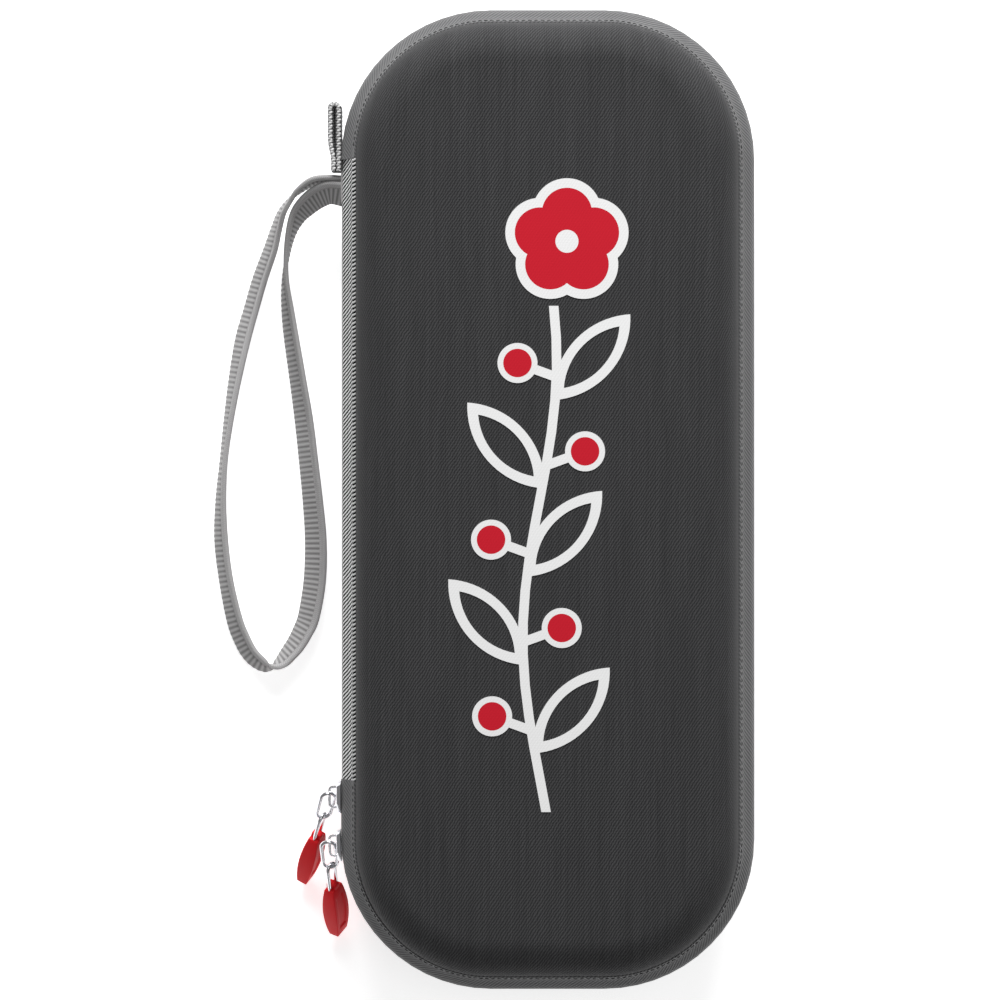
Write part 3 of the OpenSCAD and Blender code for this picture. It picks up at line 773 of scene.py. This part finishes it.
makeBinding("lid", 1)
makeBinding("base", -1)
print("rims bound")

# Spine ribbon and the strip inside it, which bend with the hinge

ribbonPiece = {"low": case["ribbonLow"], "high": cornerY, "thick": 1.0, "inside": 0.6, "insideReach": 7}


def ribbonFace(t):
    return [
        (wallU(zipPiece["reach"]) + t, zipPiece["reach"]),
        (wallU(zipPiece["lift"]) + t, zipPiece["lift"]),
        (t - 2.9, 4.6),
        (t - 1.5, 2.2),
        (t - ribbonPiece["thick"], 0),
    ]


def curvePoint(p, q, r, s, t):
    square = 2 * p - 5 * q + 4 * r - s
    cube = 3 * q - p - 3 * r + s
    return 0.5 * (2 * q + (r - p) * t + square * t * t + cube * t**3)


def curved(points, cuts):
    # Catmull-Rom curve through points of any size
    out = []
    for i in range(len(points) - 1):
        a, b, c, d = (points[max(0, min(len(points) - 1, i + k))] for k in (-1, 0, 1, 2))
        for j in range(cuts):
            t = j / cuts
            out.append(tuple(curvePoint(p, q, r, s, t) for p, q, r, s in zip(a, b, c, d)))
    out.append(tuple(points[-1]))
    return out


def bothHalves(face, cuts=3):
    half = curved(face, cuts)
    return half + [(u, -h) for u, h in reversed(half[:-1])]


def downSpine(high, steps):
    low = ribbonPiece["low"]
    return [frameAt(spineX, high + (low - high) * i / steps, math.pi) for i in range(steps + 1)]


def makeRibbon():
    s = ribbonPiece
    outer = bothHalves(ribbonFace(s["thick"]))
    inner = bothHalves(ribbonFace(0.02))
    section = outer + inner[::-1]
    piece = finishPiece(runThrough(section, downSpine(s["high"], 40)), "spineRibbon", mats["ribbon"], 50)
    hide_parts("spine_ribbon")
    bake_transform(piece, "base", "lid", start=(spineX * mm, 0, 0.0245), end=(spineX * mm, 0, 0.0305))
    depth = case["shell"] + bindingPiece["thick"]
    top = (wallU(s["insideReach"], depth), s["insideReach"])
    low = (wallU(2.4, depth), 2.4)
    outerFace = bothHalves([top, low, (low[0] - 0.02, 0)], 4)
    section = outerFace + [(u - s["inside"], h) for u, h in reversed(outerFace)]
    strip = finishPiece(runThrough(section, downSpine(-s["low"], 20)), "spineLiningStrip", mats["lining"], 50)
    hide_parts("spine_lining")
    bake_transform(strip, "base", "lid", start=(spineX * mm, 0, 0.0245), end=(spineX * mm, 0, 0.0305))


makeRibbon()
print("spine made")

# Wrist strap, on the same route as its solid

strapPiece = {
    "width": 9,
    "thick": 1.5,
    "rootY": 93.8,
    "rib": 1.57,
    "ribDepth": 0.14,
    "selvedge": 2.1,
}
strapRoute = [
    (-61.3, 94.6, 20.9, -34),
    (-67.3, 96.3, 18.7, -12),
    (-71.5, 96, 17, -6),
    (-75.6, 93.6, 14.7, 0),
    (-78.1, 91.2, 12.7, 8),
    (-81.1, 87.1, 10.5, 15),
    (-83.1, 81.8, 8, 21),
    (-84.9, 76.2, 6, 27),
    (-88.4, 67.2, 2.9, 30),
    (-91.2, 58.1, 1.1, 30),
    (-93.8, 48.9, 0.66, 31),
    (-96.2, 36.6, 0.59, 24),
    (-98.1, 24.4, 0.53, 17),
    (-99.6, 12.1, 0.48, 13),
    (-100.5, -0.2, 0.55, 19),
    (-100.4, -12.4, 0.61, 26),
    (-98.9, -24.7, 0.62, 27),
    (-96.3, -36.9, 0.67, 32),
    (-93.8, -43.4, 0.69, 34),
    (-91.5, -47.4, 0.67, 32),
    (-88.7, -50, 0.63, 28),
    (-86.1, -51.2, 0.52, 16),
    (-83.8, -50.7, 0.45, -10),
    (-81.5, -49.2, 0.61, -26),
    (-79.4, -46.7, 0.68, -33),
    (-77.4, -44, 0.72, -38),
    (-75.4, -40.3, 0.75, -42),
    (-73.6, -35.7, 0.78, -46),
    (-71.8, -24.7, 0.8, -48),
    (-71.5, -12.4, 0.78, -46),
    (-72.4, -0.2, 0.75, -42),
    (-73.7, 12.1, 0.73, -39),
    (-75.1, 24.4, 0.71, -37),
    (-76.9, 36.6, 0.67, -32),
    (-78.8, 48.9, 0.63, -28),
    (-80, 58.1, 1, -22),
    (-80.6, 67.2, 2.6, -10),
    (-79.8, 75.6, 5.1, 0),
    (-78.3, 81.8, 8, 10),
    (-76.2, 86.2, 10.7, 24),
    (-73.6, 88.9, 13.7, 34),
    (-70, 91.4, 16.8, 40),
    (-65.9, 92.7, 20.1, 42),
    (-61.3, 91.8, 22.3, 44),
]


def strapFrames(spacing):
    fine = curved(strapRoute, 40)
    line = [fine[0]]
    gone = 0
    for a, b in zip(fine, fine[1:]):
        gone += math.dist(a[:3], b[:3])
        if gone >= spacing:
            line.append(b)
            gone = 0
    line.append(fine[-1])
    frames = []
    for i, (x, y, z, lean) in enumerate(line):
        a, b = line[max(0, i - 1)], line[min(len(line) - 1, i + 1)]
        way = Vector((b[0] - a[0], b[1] - a[1])).normalized()
        if i == 0:
            way = Vector((-1, 0))
        if i == len(line) - 1:
            way = Vector((1, 0))
        side = Vector((-way.y, way.x))
        r = math.radians(lean)
        up = Vector((side.x * math.sin(r), side.y * math.sin(r), math.cos(r)))
        face = Vector((side.x * math.cos(r), side.y * math.cos(r), -math.sin(r)))
        onward = up.cross(-face)
        mid = Vector((x, y, z + strapPiece["width"] / 2 * math.cos(r)))
        m = Matrix((-face, onward, up)).transposed().to_4x4()
        m.translation = mid
        frames.append(m)
    return frames


def makeStrap():
    s = strapPiece
    half = s["width"] / 2
    t = s["thick"] / 2
    side = [
        (t * 0.55, -half),
        (t * 0.86, -half + 0.4),
        (t * 0.86, -2),
        (t * 0.86, 0),
        (t * 0.86, half - s["selvedge"]),
        (t * 0.6, half - s["selvedge"] + 0.25),
        (t, half - s["selvedge"] + 0.6),
        (t, half - 0.5),
        (t * 0.6, half),
    ]
    section = side + [(-a, b) for a, b in reversed(side)]
    reach = [0]
    for p, q in zip(section, section[1:]):
        reach.append(reach[-1] + math.dist(p, q))
    ribbed = ((reach[1], reach[4]), (reach[13], reach[16]))
    smooth = (reach[4] + 0.05, reach[13] - 0.05)
    frames = strapFrames(s["rib"] / 5)
    bm = runThrough(section, frames)
    along = bm.verts.layers.float["along"]
    across = bm.verts.layers.float["across"]
    for v in bm.verts:  # ribs of the webbing's two faces
        if any(low - 0.01 <= v[across] <= high + 0.01 for low, high in ribbed):
            wave = 0.5 - 0.5 * math.sin(2 * math.pi * v[along] / s["rib"])
            v.normal_update()
            v.co -= v.normal * s["ribDepth"] * wave
    for face in bm.faces:
        middle = sum(v[across] for v in face.verts) / len(face.verts)
        if smooth[0] < middle < smooth[1]:
            face.material_index = 1
    piece = finishPiece(bm, "wristStrap", mats["strap"], 60)
    piece.data.materials.append(mats["strapEdge"])
    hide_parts("wrist_strap")
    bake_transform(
        piece, "base", "strap",
        start=(-0.0630, s["rootY"] * mm, 0.0275), end=(-0.0680, s["rootY"] * mm, 0.0275),
    )


makeStrap()
print("strap made")

# Folded seam tab with its twisted edges

tabPiece = {
    "length": 21,
    "width": 8,
    "thick": 1.5,
    "open": 1.0,
    "low": 22,
    "cord": 0.78,
    "twist": 2.82,
    "fill": 0.42,
}


def turnsAlong(line):
    # the way on at each point of a flat line, as an angle
    turns = []
    for i in range(len(line)):
        a, b = line[max(0, i - 1)], line[min(len(line) - 1, i + 1)]
        turns.append(math.atan2(b[1] - a[1], b[0] - a[0]))
    return turns


def flatPath(points, cuts=5):
    line = curved(points, cuts)
    return [frameAt(x, y, turn - math.pi / 2, 0) for (x, y), turn in zip(line, turnsAlong(line))]


def makeTab():
    s = tabPiece
    x0 = spineX - 0.1
    y0 = strapPiece["rootY"] + strapPiece["width"] / 2 + 0.3
    t = s["thick"]
    bend = s["open"] / 2 + t / 2
    near = x0 - t / 2
    far = x0 - 1.5 * t - s["open"]
    top = y0 + s["length"] - 2
    hub = (x0 - t - s["open"] / 2, top)
    route = [(near, y0 + 0.1), (near, y0 + 7), (near, y0 + 14), (near, top)]
    route += [(hub[0] + bend * math.cos(a), hub[1] + bend * math.sin(a)) for a in (0.7, 1.571, 2.44)]
    route += [(far, top), (far, y0 + 14), (far + 0.1, y0 + 8.5), (far + 0.9, y0 + 4.2)]
    route.append((x0 - 1.5 * t - 0.05, y0 + 0.1))
    frames = [Matrix.Translation((0, 0, s["low"] + s["width"] / 2)) @ f for f in flatPath(route)]
    half = s["width"] / 2
    w = t / 2 - 0.08
    heights = [-half, -half / 2, 0, half / 2, half]
    section = [(w, h) for h in heights] + [(-w - s["fill"], h) for h in reversed(heights)]
    tape = finishPiece(runThrough(section, frames), "seamTab", mats["binding"], 50)
    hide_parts("seam_tab")
    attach(tape, "base")
    lobes = []
    for i in range(12):
        a = i * math.pi / 6
        r = s["cord"] * (0.62 + 0.38 * abs(math.cos(a)))
        lobes.append((r * math.cos(a), r * math.sin(a)))
    for name, height in (("tabCordFront", half - 0.25), ("tabCordBack", -half + 0.25)):
        twisted = []
        way = 0
        fine = []
        for a, b in zip(frames, frames[1:]):
            gap = (b.translation - a.translation).length
            count = max(1, int(gap / 0.3))
            fine += [a.lerp(b, k / count) for k in range(count)]
        fine.append(frames[-1])
        for i, f in enumerate(fine):
            if i:
                way += (f.translation - fine[i - 1].translation).length
            twisted.append(
                f
                @ Matrix.Translation((0, 0, height))
                @ Matrix.Rotation(2 * math.pi * way / s["twist"], 4, "Y")
            )
        cord = finishPiece(runThrough(lobes, twisted), name, mats["braid"], 80)
        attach(cord, "base")


makeTab()
print("tab made")

# Sliders, rings, wire loops and grips

pullPiece = {
    "wire": 0.5,
    "plated": 0.58,
    "ringWidth": 5.2,
    "ringLength": 12,
    "ringShift": 0.45,
    "loopWidth": 4.6,
    "loopOut": 9.6,
    "loopSink": 4,
    "gripLength": 19.5,
    "gripWidth": 7,
    "gripThick": 5,
    "bow": 0.9,
    "lug": 1.7,
    "lugHigh": 2.6,
    "lugLength": 1.6,
    "bailU": 3.7,
    "fall": math.radians(41.5),
    "upperY": -89.5,
    "upperTurn": math.radians(252),
    "upperTwist": math.radians(-24),
    "upperRoll": math.radians(-38),
    "lowerAngle": math.radians(2.6),
    "lowerTurn": math.radians(273),
    "lowerRoll": math.radians(-32),
}
ringBend = pullPiece["ringWidth"] / 2 - pullPiece["wire"]
ringNear = pullPiece["ringShift"] - ringBend
ringFar = ringNear + pullPiece["ringLength"] - 2 * pullPiece["wire"]
loopNear = ringFar - 2 * pullPiece["wire"] - 0.2
gripNear = loopNear + pullPiece["loopOut"]
lowerAngle = pullPiece["lowerAngle"]
flipY = Matrix.Scale(-1, 4, (0, 1, 0))
upperChain = (
    Matrix.Translation((spineX - pullPiece["bailU"], pullPiece["upperY"], case["halfHeight"]))
    @ Matrix.Rotation(pullPiece["upperTurn"], 4, "Z")
    @ Matrix.Rotation(pullPiece["fall"], 4, "Y")
    @ Matrix.Rotation(pullPiece["upperTwist"], 4, "X")
    @ flipY
)
lowerReach = case["corner"] + pullPiece["bailU"]
lowerChain = (
    Matrix.Translation(
        (
            -cornerX - lowerReach * math.cos(lowerAngle),
            -cornerY - lowerReach * math.sin(lowerAngle),
            case["halfHeight"],
        )
    )
    @ Matrix.Rotation(pullPiece["lowerTurn"], 4, "Z")
    @ Matrix.Rotation(pullPiece["fall"], 4, "Y")
    @ flipY
)
shiftY = Matrix.Translation((0, pullPiece["ringShift"], 0))
upperRoll = upperChain @ shiftY @ Matrix.Rotation(pullPiece["upperRoll"], 4, "X") @ shiftY.inverted()
lowerRoll = lowerChain @ shiftY @ Matrix.Rotation(pullPiece["lowerRoll"], 4, "X") @ shiftY.inverted()


def wireSection(radius, sides=12):
    angles = [2 * math.pi * i / sides for i in range(sides)]
    return [(radius * math.cos(a), radius * math.sin(a)) for a in angles]


def linkFrames(near, far, width, cuts=10):
    # once round a link in the local x-y plane
    r = width / 2 - pullPiece["wire"]
    frames = []
    for hub, first in ((far - r, -math.pi / 2), (near + r, math.pi / 2)):
        for i in range(cuts + 1):
            a = first + math.pi * i / cuts
            frames.append(frameAt(hub + r * math.cos(a), r * math.sin(a), a, 0))
    frames.append(frames[0])
    return frames


def makeRing(name, chain, node, body):
    frames = linkFrames(ringNear, ringFar, pullPiece["ringWidth"])
    bm = runThrough(wireSection(pullPiece["plated"]), frames, loop=True)
    bmesh.ops.transform(bm, matrix=chain @ shiftY, verts=bm.verts[:])
    piece = finishPiece(bm, name, mats["nickel"], 80)
    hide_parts(node)
    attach(piece, body)


def makeLoop(name, chain, node, body):
    r = pullPiece["loopWidth"] / 2 - pullPiece["wire"]
    sunk = gripNear + pullPiece["loopSink"]
    frames = [frameAt(sunk, r, math.pi / 2, 0)]
    for i in range(13):
        a = math.pi / 2 + math.pi * i / 12
        frames.append(frameAt(loopNear + r + r * math.cos(a), r * math.sin(a), a, 0))
    frames.append(frameAt(sunk, -r, 1.5 * math.pi, 0))
    bm = runThrough(wireSection(pullPiece["plated"]), frames)
    bmesh.ops.transform(bm, matrix=chain @ shiftY @ Matrix.Rotation(math.pi / 2, 4, "X"), verts=bm.verts[:])
    piece = finishPiece(bm, name, mats["nickel"], 80)
    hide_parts(node)
    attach(piece, body)


def makeGrip(name, chain, node, body):
    s = pullPiece
    bm = bmesh.new()
    bmesh.ops.create_cube(bm, size=1)
    bmesh.ops.scale(bm, vec=(s["gripLength"], s["gripThick"], s["gripWidth"]), verts=bm.verts[:])
    longEdges = [e for e in bm.edges if abs(e.verts[0].co.x - e.verts[1].co.x) > 1]
    bmesh.ops.subdivide_edges(bm, edges=longEdges, cuts=9, use_grid_fill=True)
    for v in bm.verts:  # bowed sides, widest in the middle
        pinch = s["bow"] * (2 * v.co.x / s["gripLength"]) ** 2
        v.co.y -= math.copysign(pinch, v.co.y)
        v.co.z -= math.copysign(pinch, v.co.z)
    bm.normal_update()
    for way in (1, -1):  # a shallow thumb recess in each narrow side
        reach = s["gripLength"] / 2 - 2.5
        side = [f for f in bm.faces if f.normal.y * way > 0.7 and abs(f.calc_center_median().x) < reach]
        bmesh.ops.inset_region(bm, faces=side, thickness=1.5, depth=0)
        bmesh.ops.inset_region(bm, faces=side, thickness=0.35, depth=-0.45)
    bm.normal_update()
    hard = [e for e in bm.edges if len(e.link_faces) == 2 and e.calc_face_angle() > 0.7]
    roundEdges(bm, hard, 0.55, 3, clamp=True)
    bmesh.ops.translate(bm, vec=(gripNear + s["gripLength"] / 2, s["ringShift"], 0), verts=bm.verts[:])
    for way in (1, -1):  # the two lugs beside the wire
        side = way * (s["gripThick"] / 2 - s["bow"] - s["lug"] / 2)
        place = Matrix.Translation((gripNear - s["lugLength"] / 2 + 0.3, s["ringShift"] + side, 0))
        lug = bmesh.ops.create_cube(bm, size=1, matrix=place)
        bmesh.ops.scale(
            bm, vec=(s["lugLength"] + 0.6, s["lug"], s["lugHigh"]), verts=lug["verts"], space=place.inverted()
        )
        rims = list({e for v in lug["verts"] for e in v.link_edges})
        roundEdges(bm, rims, 0.4, 3)
    bmesh.ops.transform(bm, matrix=chain, verts=bm.verts[:])
    piece = finishPiece(bm, name, mats["grip"], 40)
    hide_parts(node)
    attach(piece, body)


sliderPiece = {
    "in": 0.15,
    "plate": 1.35,
    "length": 10,
    "width": 8,
    "bailHalf": 3.5,
    "neck": ((-1.0, 0, 0), (3.6, 4, 0.44)),  # centre and size, between the two rows of teeth
    "innerPlate": ((-3.2, 0, 0), (0.6, 8, 4)),
}


def makeSlider(name, place, node, body):
    s = sliderPiece
    bm = bmesh.new()
    half = s["length"] / 2
    wide = s["width"] / 2
    outline = [
        (-half, -wide + 1.6), (-half + 1.4, -wide), (half - 3, -wide), (half, -wide + 2.4),
        (half, wide - 2.4), (half - 3, wide), (-half + 1.4, wide), (-half, wide - 1.6),
    ]
    verts = [bm.verts.new((s["in"], y, z)) for y, z in outline]
    face = bm.faces.new(verts)
    up = bmesh.ops.extrude_face_region(bm, geom=[face])
    top = [g for g in up["geom"] if isinstance(g, bmesh.types.BMVert)]
    bmesh.ops.translate(bm, vec=(s["plate"], 0, 0), verts=top)
    bmesh.ops.scale(bm, vec=(1, 0.9, 0.86), verts=top)
    roundEdges(bm, bm.edges[:], 0.3, 2)
    plateOut = s["in"] + s["plate"]
    post = -s["bailHalf"] + 0.5
    top = pullPiece["bailU"]
    rise = [(plateOut - 0.3, post), (plateOut + 1.2, post), (top - 0.15, -2.55), (top, -1.6), (top, 0)]
    path = rise + [(x, -y) for x, y in reversed(rise[:-1])]
    bar = [(0.38, -0.25), (0.38, 0.25), (0.22, 0.4), (-0.22, 0.4)]
    bar += [(-a, -b) for a, b in bar]
    bail = runThrough(bar, flatPath(path, 3))
    holder = bpy.data.meshes.new("bail")
    bail.to_mesh(holder)
    bail.free()
    bm.from_mesh(holder)
    bpy.data.meshes.remove(holder)
    for centre, size in (s["neck"], s["innerPlate"]):
        around = Matrix.Translation(centre)
        made = bmesh.ops.create_cube(bm, size=1, matrix=around)
        bmesh.ops.scale(bm, vec=size, verts=made["verts"], space=around.inverted())
    bmesh.ops.transform(bm, matrix=place, verts=bm.verts[:])
    piece = finishPiece(bm, name, mats["nickel"], 35)
    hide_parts(node)
    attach(piece, body)


upperPlace = frameAt(spineX, pullPiece["upperY"], math.pi)
lowerPlace = frameAt(-cornerX, -cornerY, math.pi + lowerAngle) @ Matrix.Translation((case["corner"], 0, 0))
makeSlider("upperSlider", upperPlace, "slider_upper", "upper_slider")
makeSlider("lowerSlider", lowerPlace, "slider_lower", "lower_slider")
makeRing("upperRing", upperChain, "pull_ring_upper", "upper_ring")
makeRing("lowerRing", lowerChain, "pull_ring_lower", "lower_ring")
makeLoop("upperWireLoop", upperRoll, "pull_loop_upper", "upper_pull")
makeLoop("lowerWireLoop", lowerRoll, "pull_loop_lower", "lower_pull")
makeGrip("upperGrip", upperRoll, "pull_grip_upper", "upper_pull")
makeGrip("lowerGrip", lowerRoll, "pull_grip_lower", "lower_pull")
print("pulls made")

# Inside: hold-down bands and the mesh pocket

insidePiece = {
    "bandY": 62, "bandWidth": 22, "bandThick": 1.2, "bandDepth": 5, "bandEnd": 9,
    "pocket": 10, "pocketTop": 20, "edge": 10, "net": 0.6, "cell": 3.2, "strand": 0.34,
    "netSlant": math.radians(33), "netSpread": 170, "netThick": 0.4, "smallestCell": 2.2,
}


def bandSection(w, t, shoulder, belly):
    face = [(-w, -t * 0.6), (-w + shoulder, -t), (-w / 2, -t * belly), (0, -t)]
    face += [(w / 2, -t * belly), (w - shoulder, -t), (w, -t * 0.6)]
    return face + [(-a, -b) for a, b in face]


def makeBand(name, y, node):
    s = insidePiece
    lining = shellPiece["liningThick"]
    half = case["halfWidth"] + wallU(7, case["shell"] + lining) - lining - 0.2
    top = case["halfHeight"] - s["bandDepth"]
    t = s["bandThick"] / 2
    low = top - s["bandEnd"] + 0.1
    flat = top - t
    path = [(-half + t, low), (-half + t, top - 3), (-half + t + 0.4, flat - 0.5)]
    path += [(-half + 2.2, flat), (-30, flat), (0, flat)]
    path += [(-x, z) for x, z in reversed(path[:-1])]
    line = curved(path, 6)
    sideways = Matrix.Rotation(-math.pi / 2, 4, "Z")
    frames = [
        Matrix.Translation((x, y, z)) @ Matrix.Rotation(-turn, 4, "Y") @ sideways
        for (x, z), turn in zip(line, turnsAlong(line))
    ]
    section = bandSection(s["bandWidth"] / 2, t, 0.4, 1)
    piece = finishPiece(runThrough(section, frames), name, mats["elastic"], 50)
    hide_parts(node)
    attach(piece, "base")


def makePocket():
    s = insidePiece
    z = case["halfHeight"] + s["pocket"]
    bm = bmesh.new()
    inset = wallU(s["pocket"] + s["net"], case["shell"]) - 0.25
    ring = []
    for f in roundOutline(16)[1:]:
        place = f @ Matrix.Translation((inset, 0, s["pocket"] + s["net"] / 2))
        ring.append(bm.verts.new(place.translation))
    bm.faces.new(ring)
    bmesh.ops.remove_doubles(bm, verts=bm.verts[:], dist=0.01)
    cutAt = Vector((0, s["pocketTop"] + 1, 0))
    whole = bm.verts[:] + bm.edges[:] + bm.faces[:]
    bmesh.ops.bisect_plane(bm, geom=whole, plane_co=cutAt, plane_no=(0, 1, 0), clear_outer=True)
    for slant in (s["netSlant"], -s["netSlant"]):
        normal = Vector((math.cos(slant), math.sin(slant), 0))
        count = int(s["netSpread"] / s["cell"])
        for i in range(-count, count + 1):
            whole = bm.verts[:] + bm.edges[:] + bm.faces[:]
            place = normal * (i + 0.5) * s["cell"]
            bmesh.ops.bisect_plane(bm, geom=whole, dist=0.001, plane_co=place, plane_no=normal)
    uv = bm.loops.layers.uv.new("thread")
    for face in bm.faces:
        for loop in face.loops:
            loop[uv].uv = loop.vert.co.xy
    cells = [f for f in bm.faces if f.calc_area() > s["smallestCell"]]
    bmesh.ops.inset_individual(bm, faces=cells, thickness=s["strand"])
    bmesh.ops.delete(bm, geom=cells, context="FACES")
    net = finishPiece(bm, "pocketNet", mats["netting"], 60)
    solid = net.modifiers.new("thickness", "SOLIDIFY")
    solid.thickness = s["netThick"] * mm
    solid.offset = 0
    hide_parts("mesh_pocket")
    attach(net, "lid")
    half = case["halfWidth"] + inset
    t = s["net"]
    w = s["edge"] / 2
    section = bandSection(w, t, 0.5, 0.9)
    steps = 60
    frames = [
        frameAt(-half + 2 * half * i / steps, s["pocketTop"] + w, -math.pi / 2, z + t)
        for i in range(steps + 1)
    ]
    edge = finishPiece(runThrough(section, frames), "pocketElastic", mats["elastic"], 50)
    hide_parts("mesh_pocket_edge")
    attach(edge, "lid")


makeBand("upperHoldBand", insidePiece["bandY"], "hold_band_upper")
makeBand("lowerHoldBand", -insidePiece["bandY"], "hold_band_lower")
makePocket()
print("inside made")

# CAD nodes that keep their own shape

kept = {
    "base_core": mats["foam"],
    "lid_core": mats["foam"],
    "strap_tail": mats["strap"],
    "lid_print_white": mats["printWhite"],
    "lid_print_red": mats["printRed"],
}
for name, mat in kept.items():
    nodes[name].data.materials.clear()
    nodes[name].data.materials.append(mat)

# Floor, light and camera

studio = {"floor": 1.6, "glow": 0.65, "world": 0.2, "key": 33.0, "fill": 3.0}


def makeStudio():
    bpy.ops.mesh.primitive_plane_add(size=studio["floor"] * 2, location=(0, 0, 0))
    floor = bpy.context.active_object
    floor.name = "floor"
    mat, tree, shader = startMaterial("paleFloor", 0.9)
    shader.inputs["Base Color"].default_value = (0.93, 0.93, 0.93, 1)
    shader.inputs["Specular IOR Level"].default_value = 0.1
    shader.inputs["Emission Color"].default_value = (1, 1, 1, 1)
    shader.inputs["Emission Strength"].default_value = studio["glow"]
    floor.data.materials.append(mat)
    world = bpy.data.worlds.new("studio")
    world.use_nodes = True
    world.node_tree.nodes["Background"].inputs["Color"].default_value = (1, 1, 1, 1)
    world.node_tree.nodes["Background"].inputs["Strength"].default_value = studio["world"]
    bpy.context.scene.world = world
    lights = (
        ("keyLight", (0.06, 1.35, 0.85), 0.9, studio["key"]),
        ("fillLight", (0.35, -0.1, 1.5), 0.8, studio["fill"]),
    )
    for name, place, size, power in lights:
        lamp = bpy.data.lights.new(name, "AREA")
        lamp.size = size
        lamp.energy = power
        holder = bpy.data.objects.new(name, lamp)
        holder.location = place
        holder.rotation_euler = (-Vector(place)).to_track_quat("-Z", "Y").to_euler()
        bpy.context.scene.collection.objects.link(holder)


camera = {
    "x": 17,
    "distance": 1250,
    "width": 301,
    "centreX": -14.4,
    "centreY": -0.15,
    "plane": 27.5,
    "sensor": 36,
}


def makeCamera():
    s = camera
    data = bpy.data.cameras.new("camera")
    data.sensor_width = s["sensor"]
    data.lens = s["sensor"] * s["distance"] / s["width"]
    data.shift_x = (s["centreX"] - s["x"]) / s["width"]
    data.shift_y = s["centreY"] / s["width"]
    data.clip_end = 10
    holder = bpy.data.objects.new("camera", data)
    holder.location = (s["x"] * mm, 0, (s["plane"] + s["distance"]) * mm)
    bpy.context.scene.collection.objects.link(holder)
    bpy.context.scene.camera = holder


makeStudio()
makeCamera()
bpy.context.scene.view_settings.view_transform = "Standard"
print("studio ready")
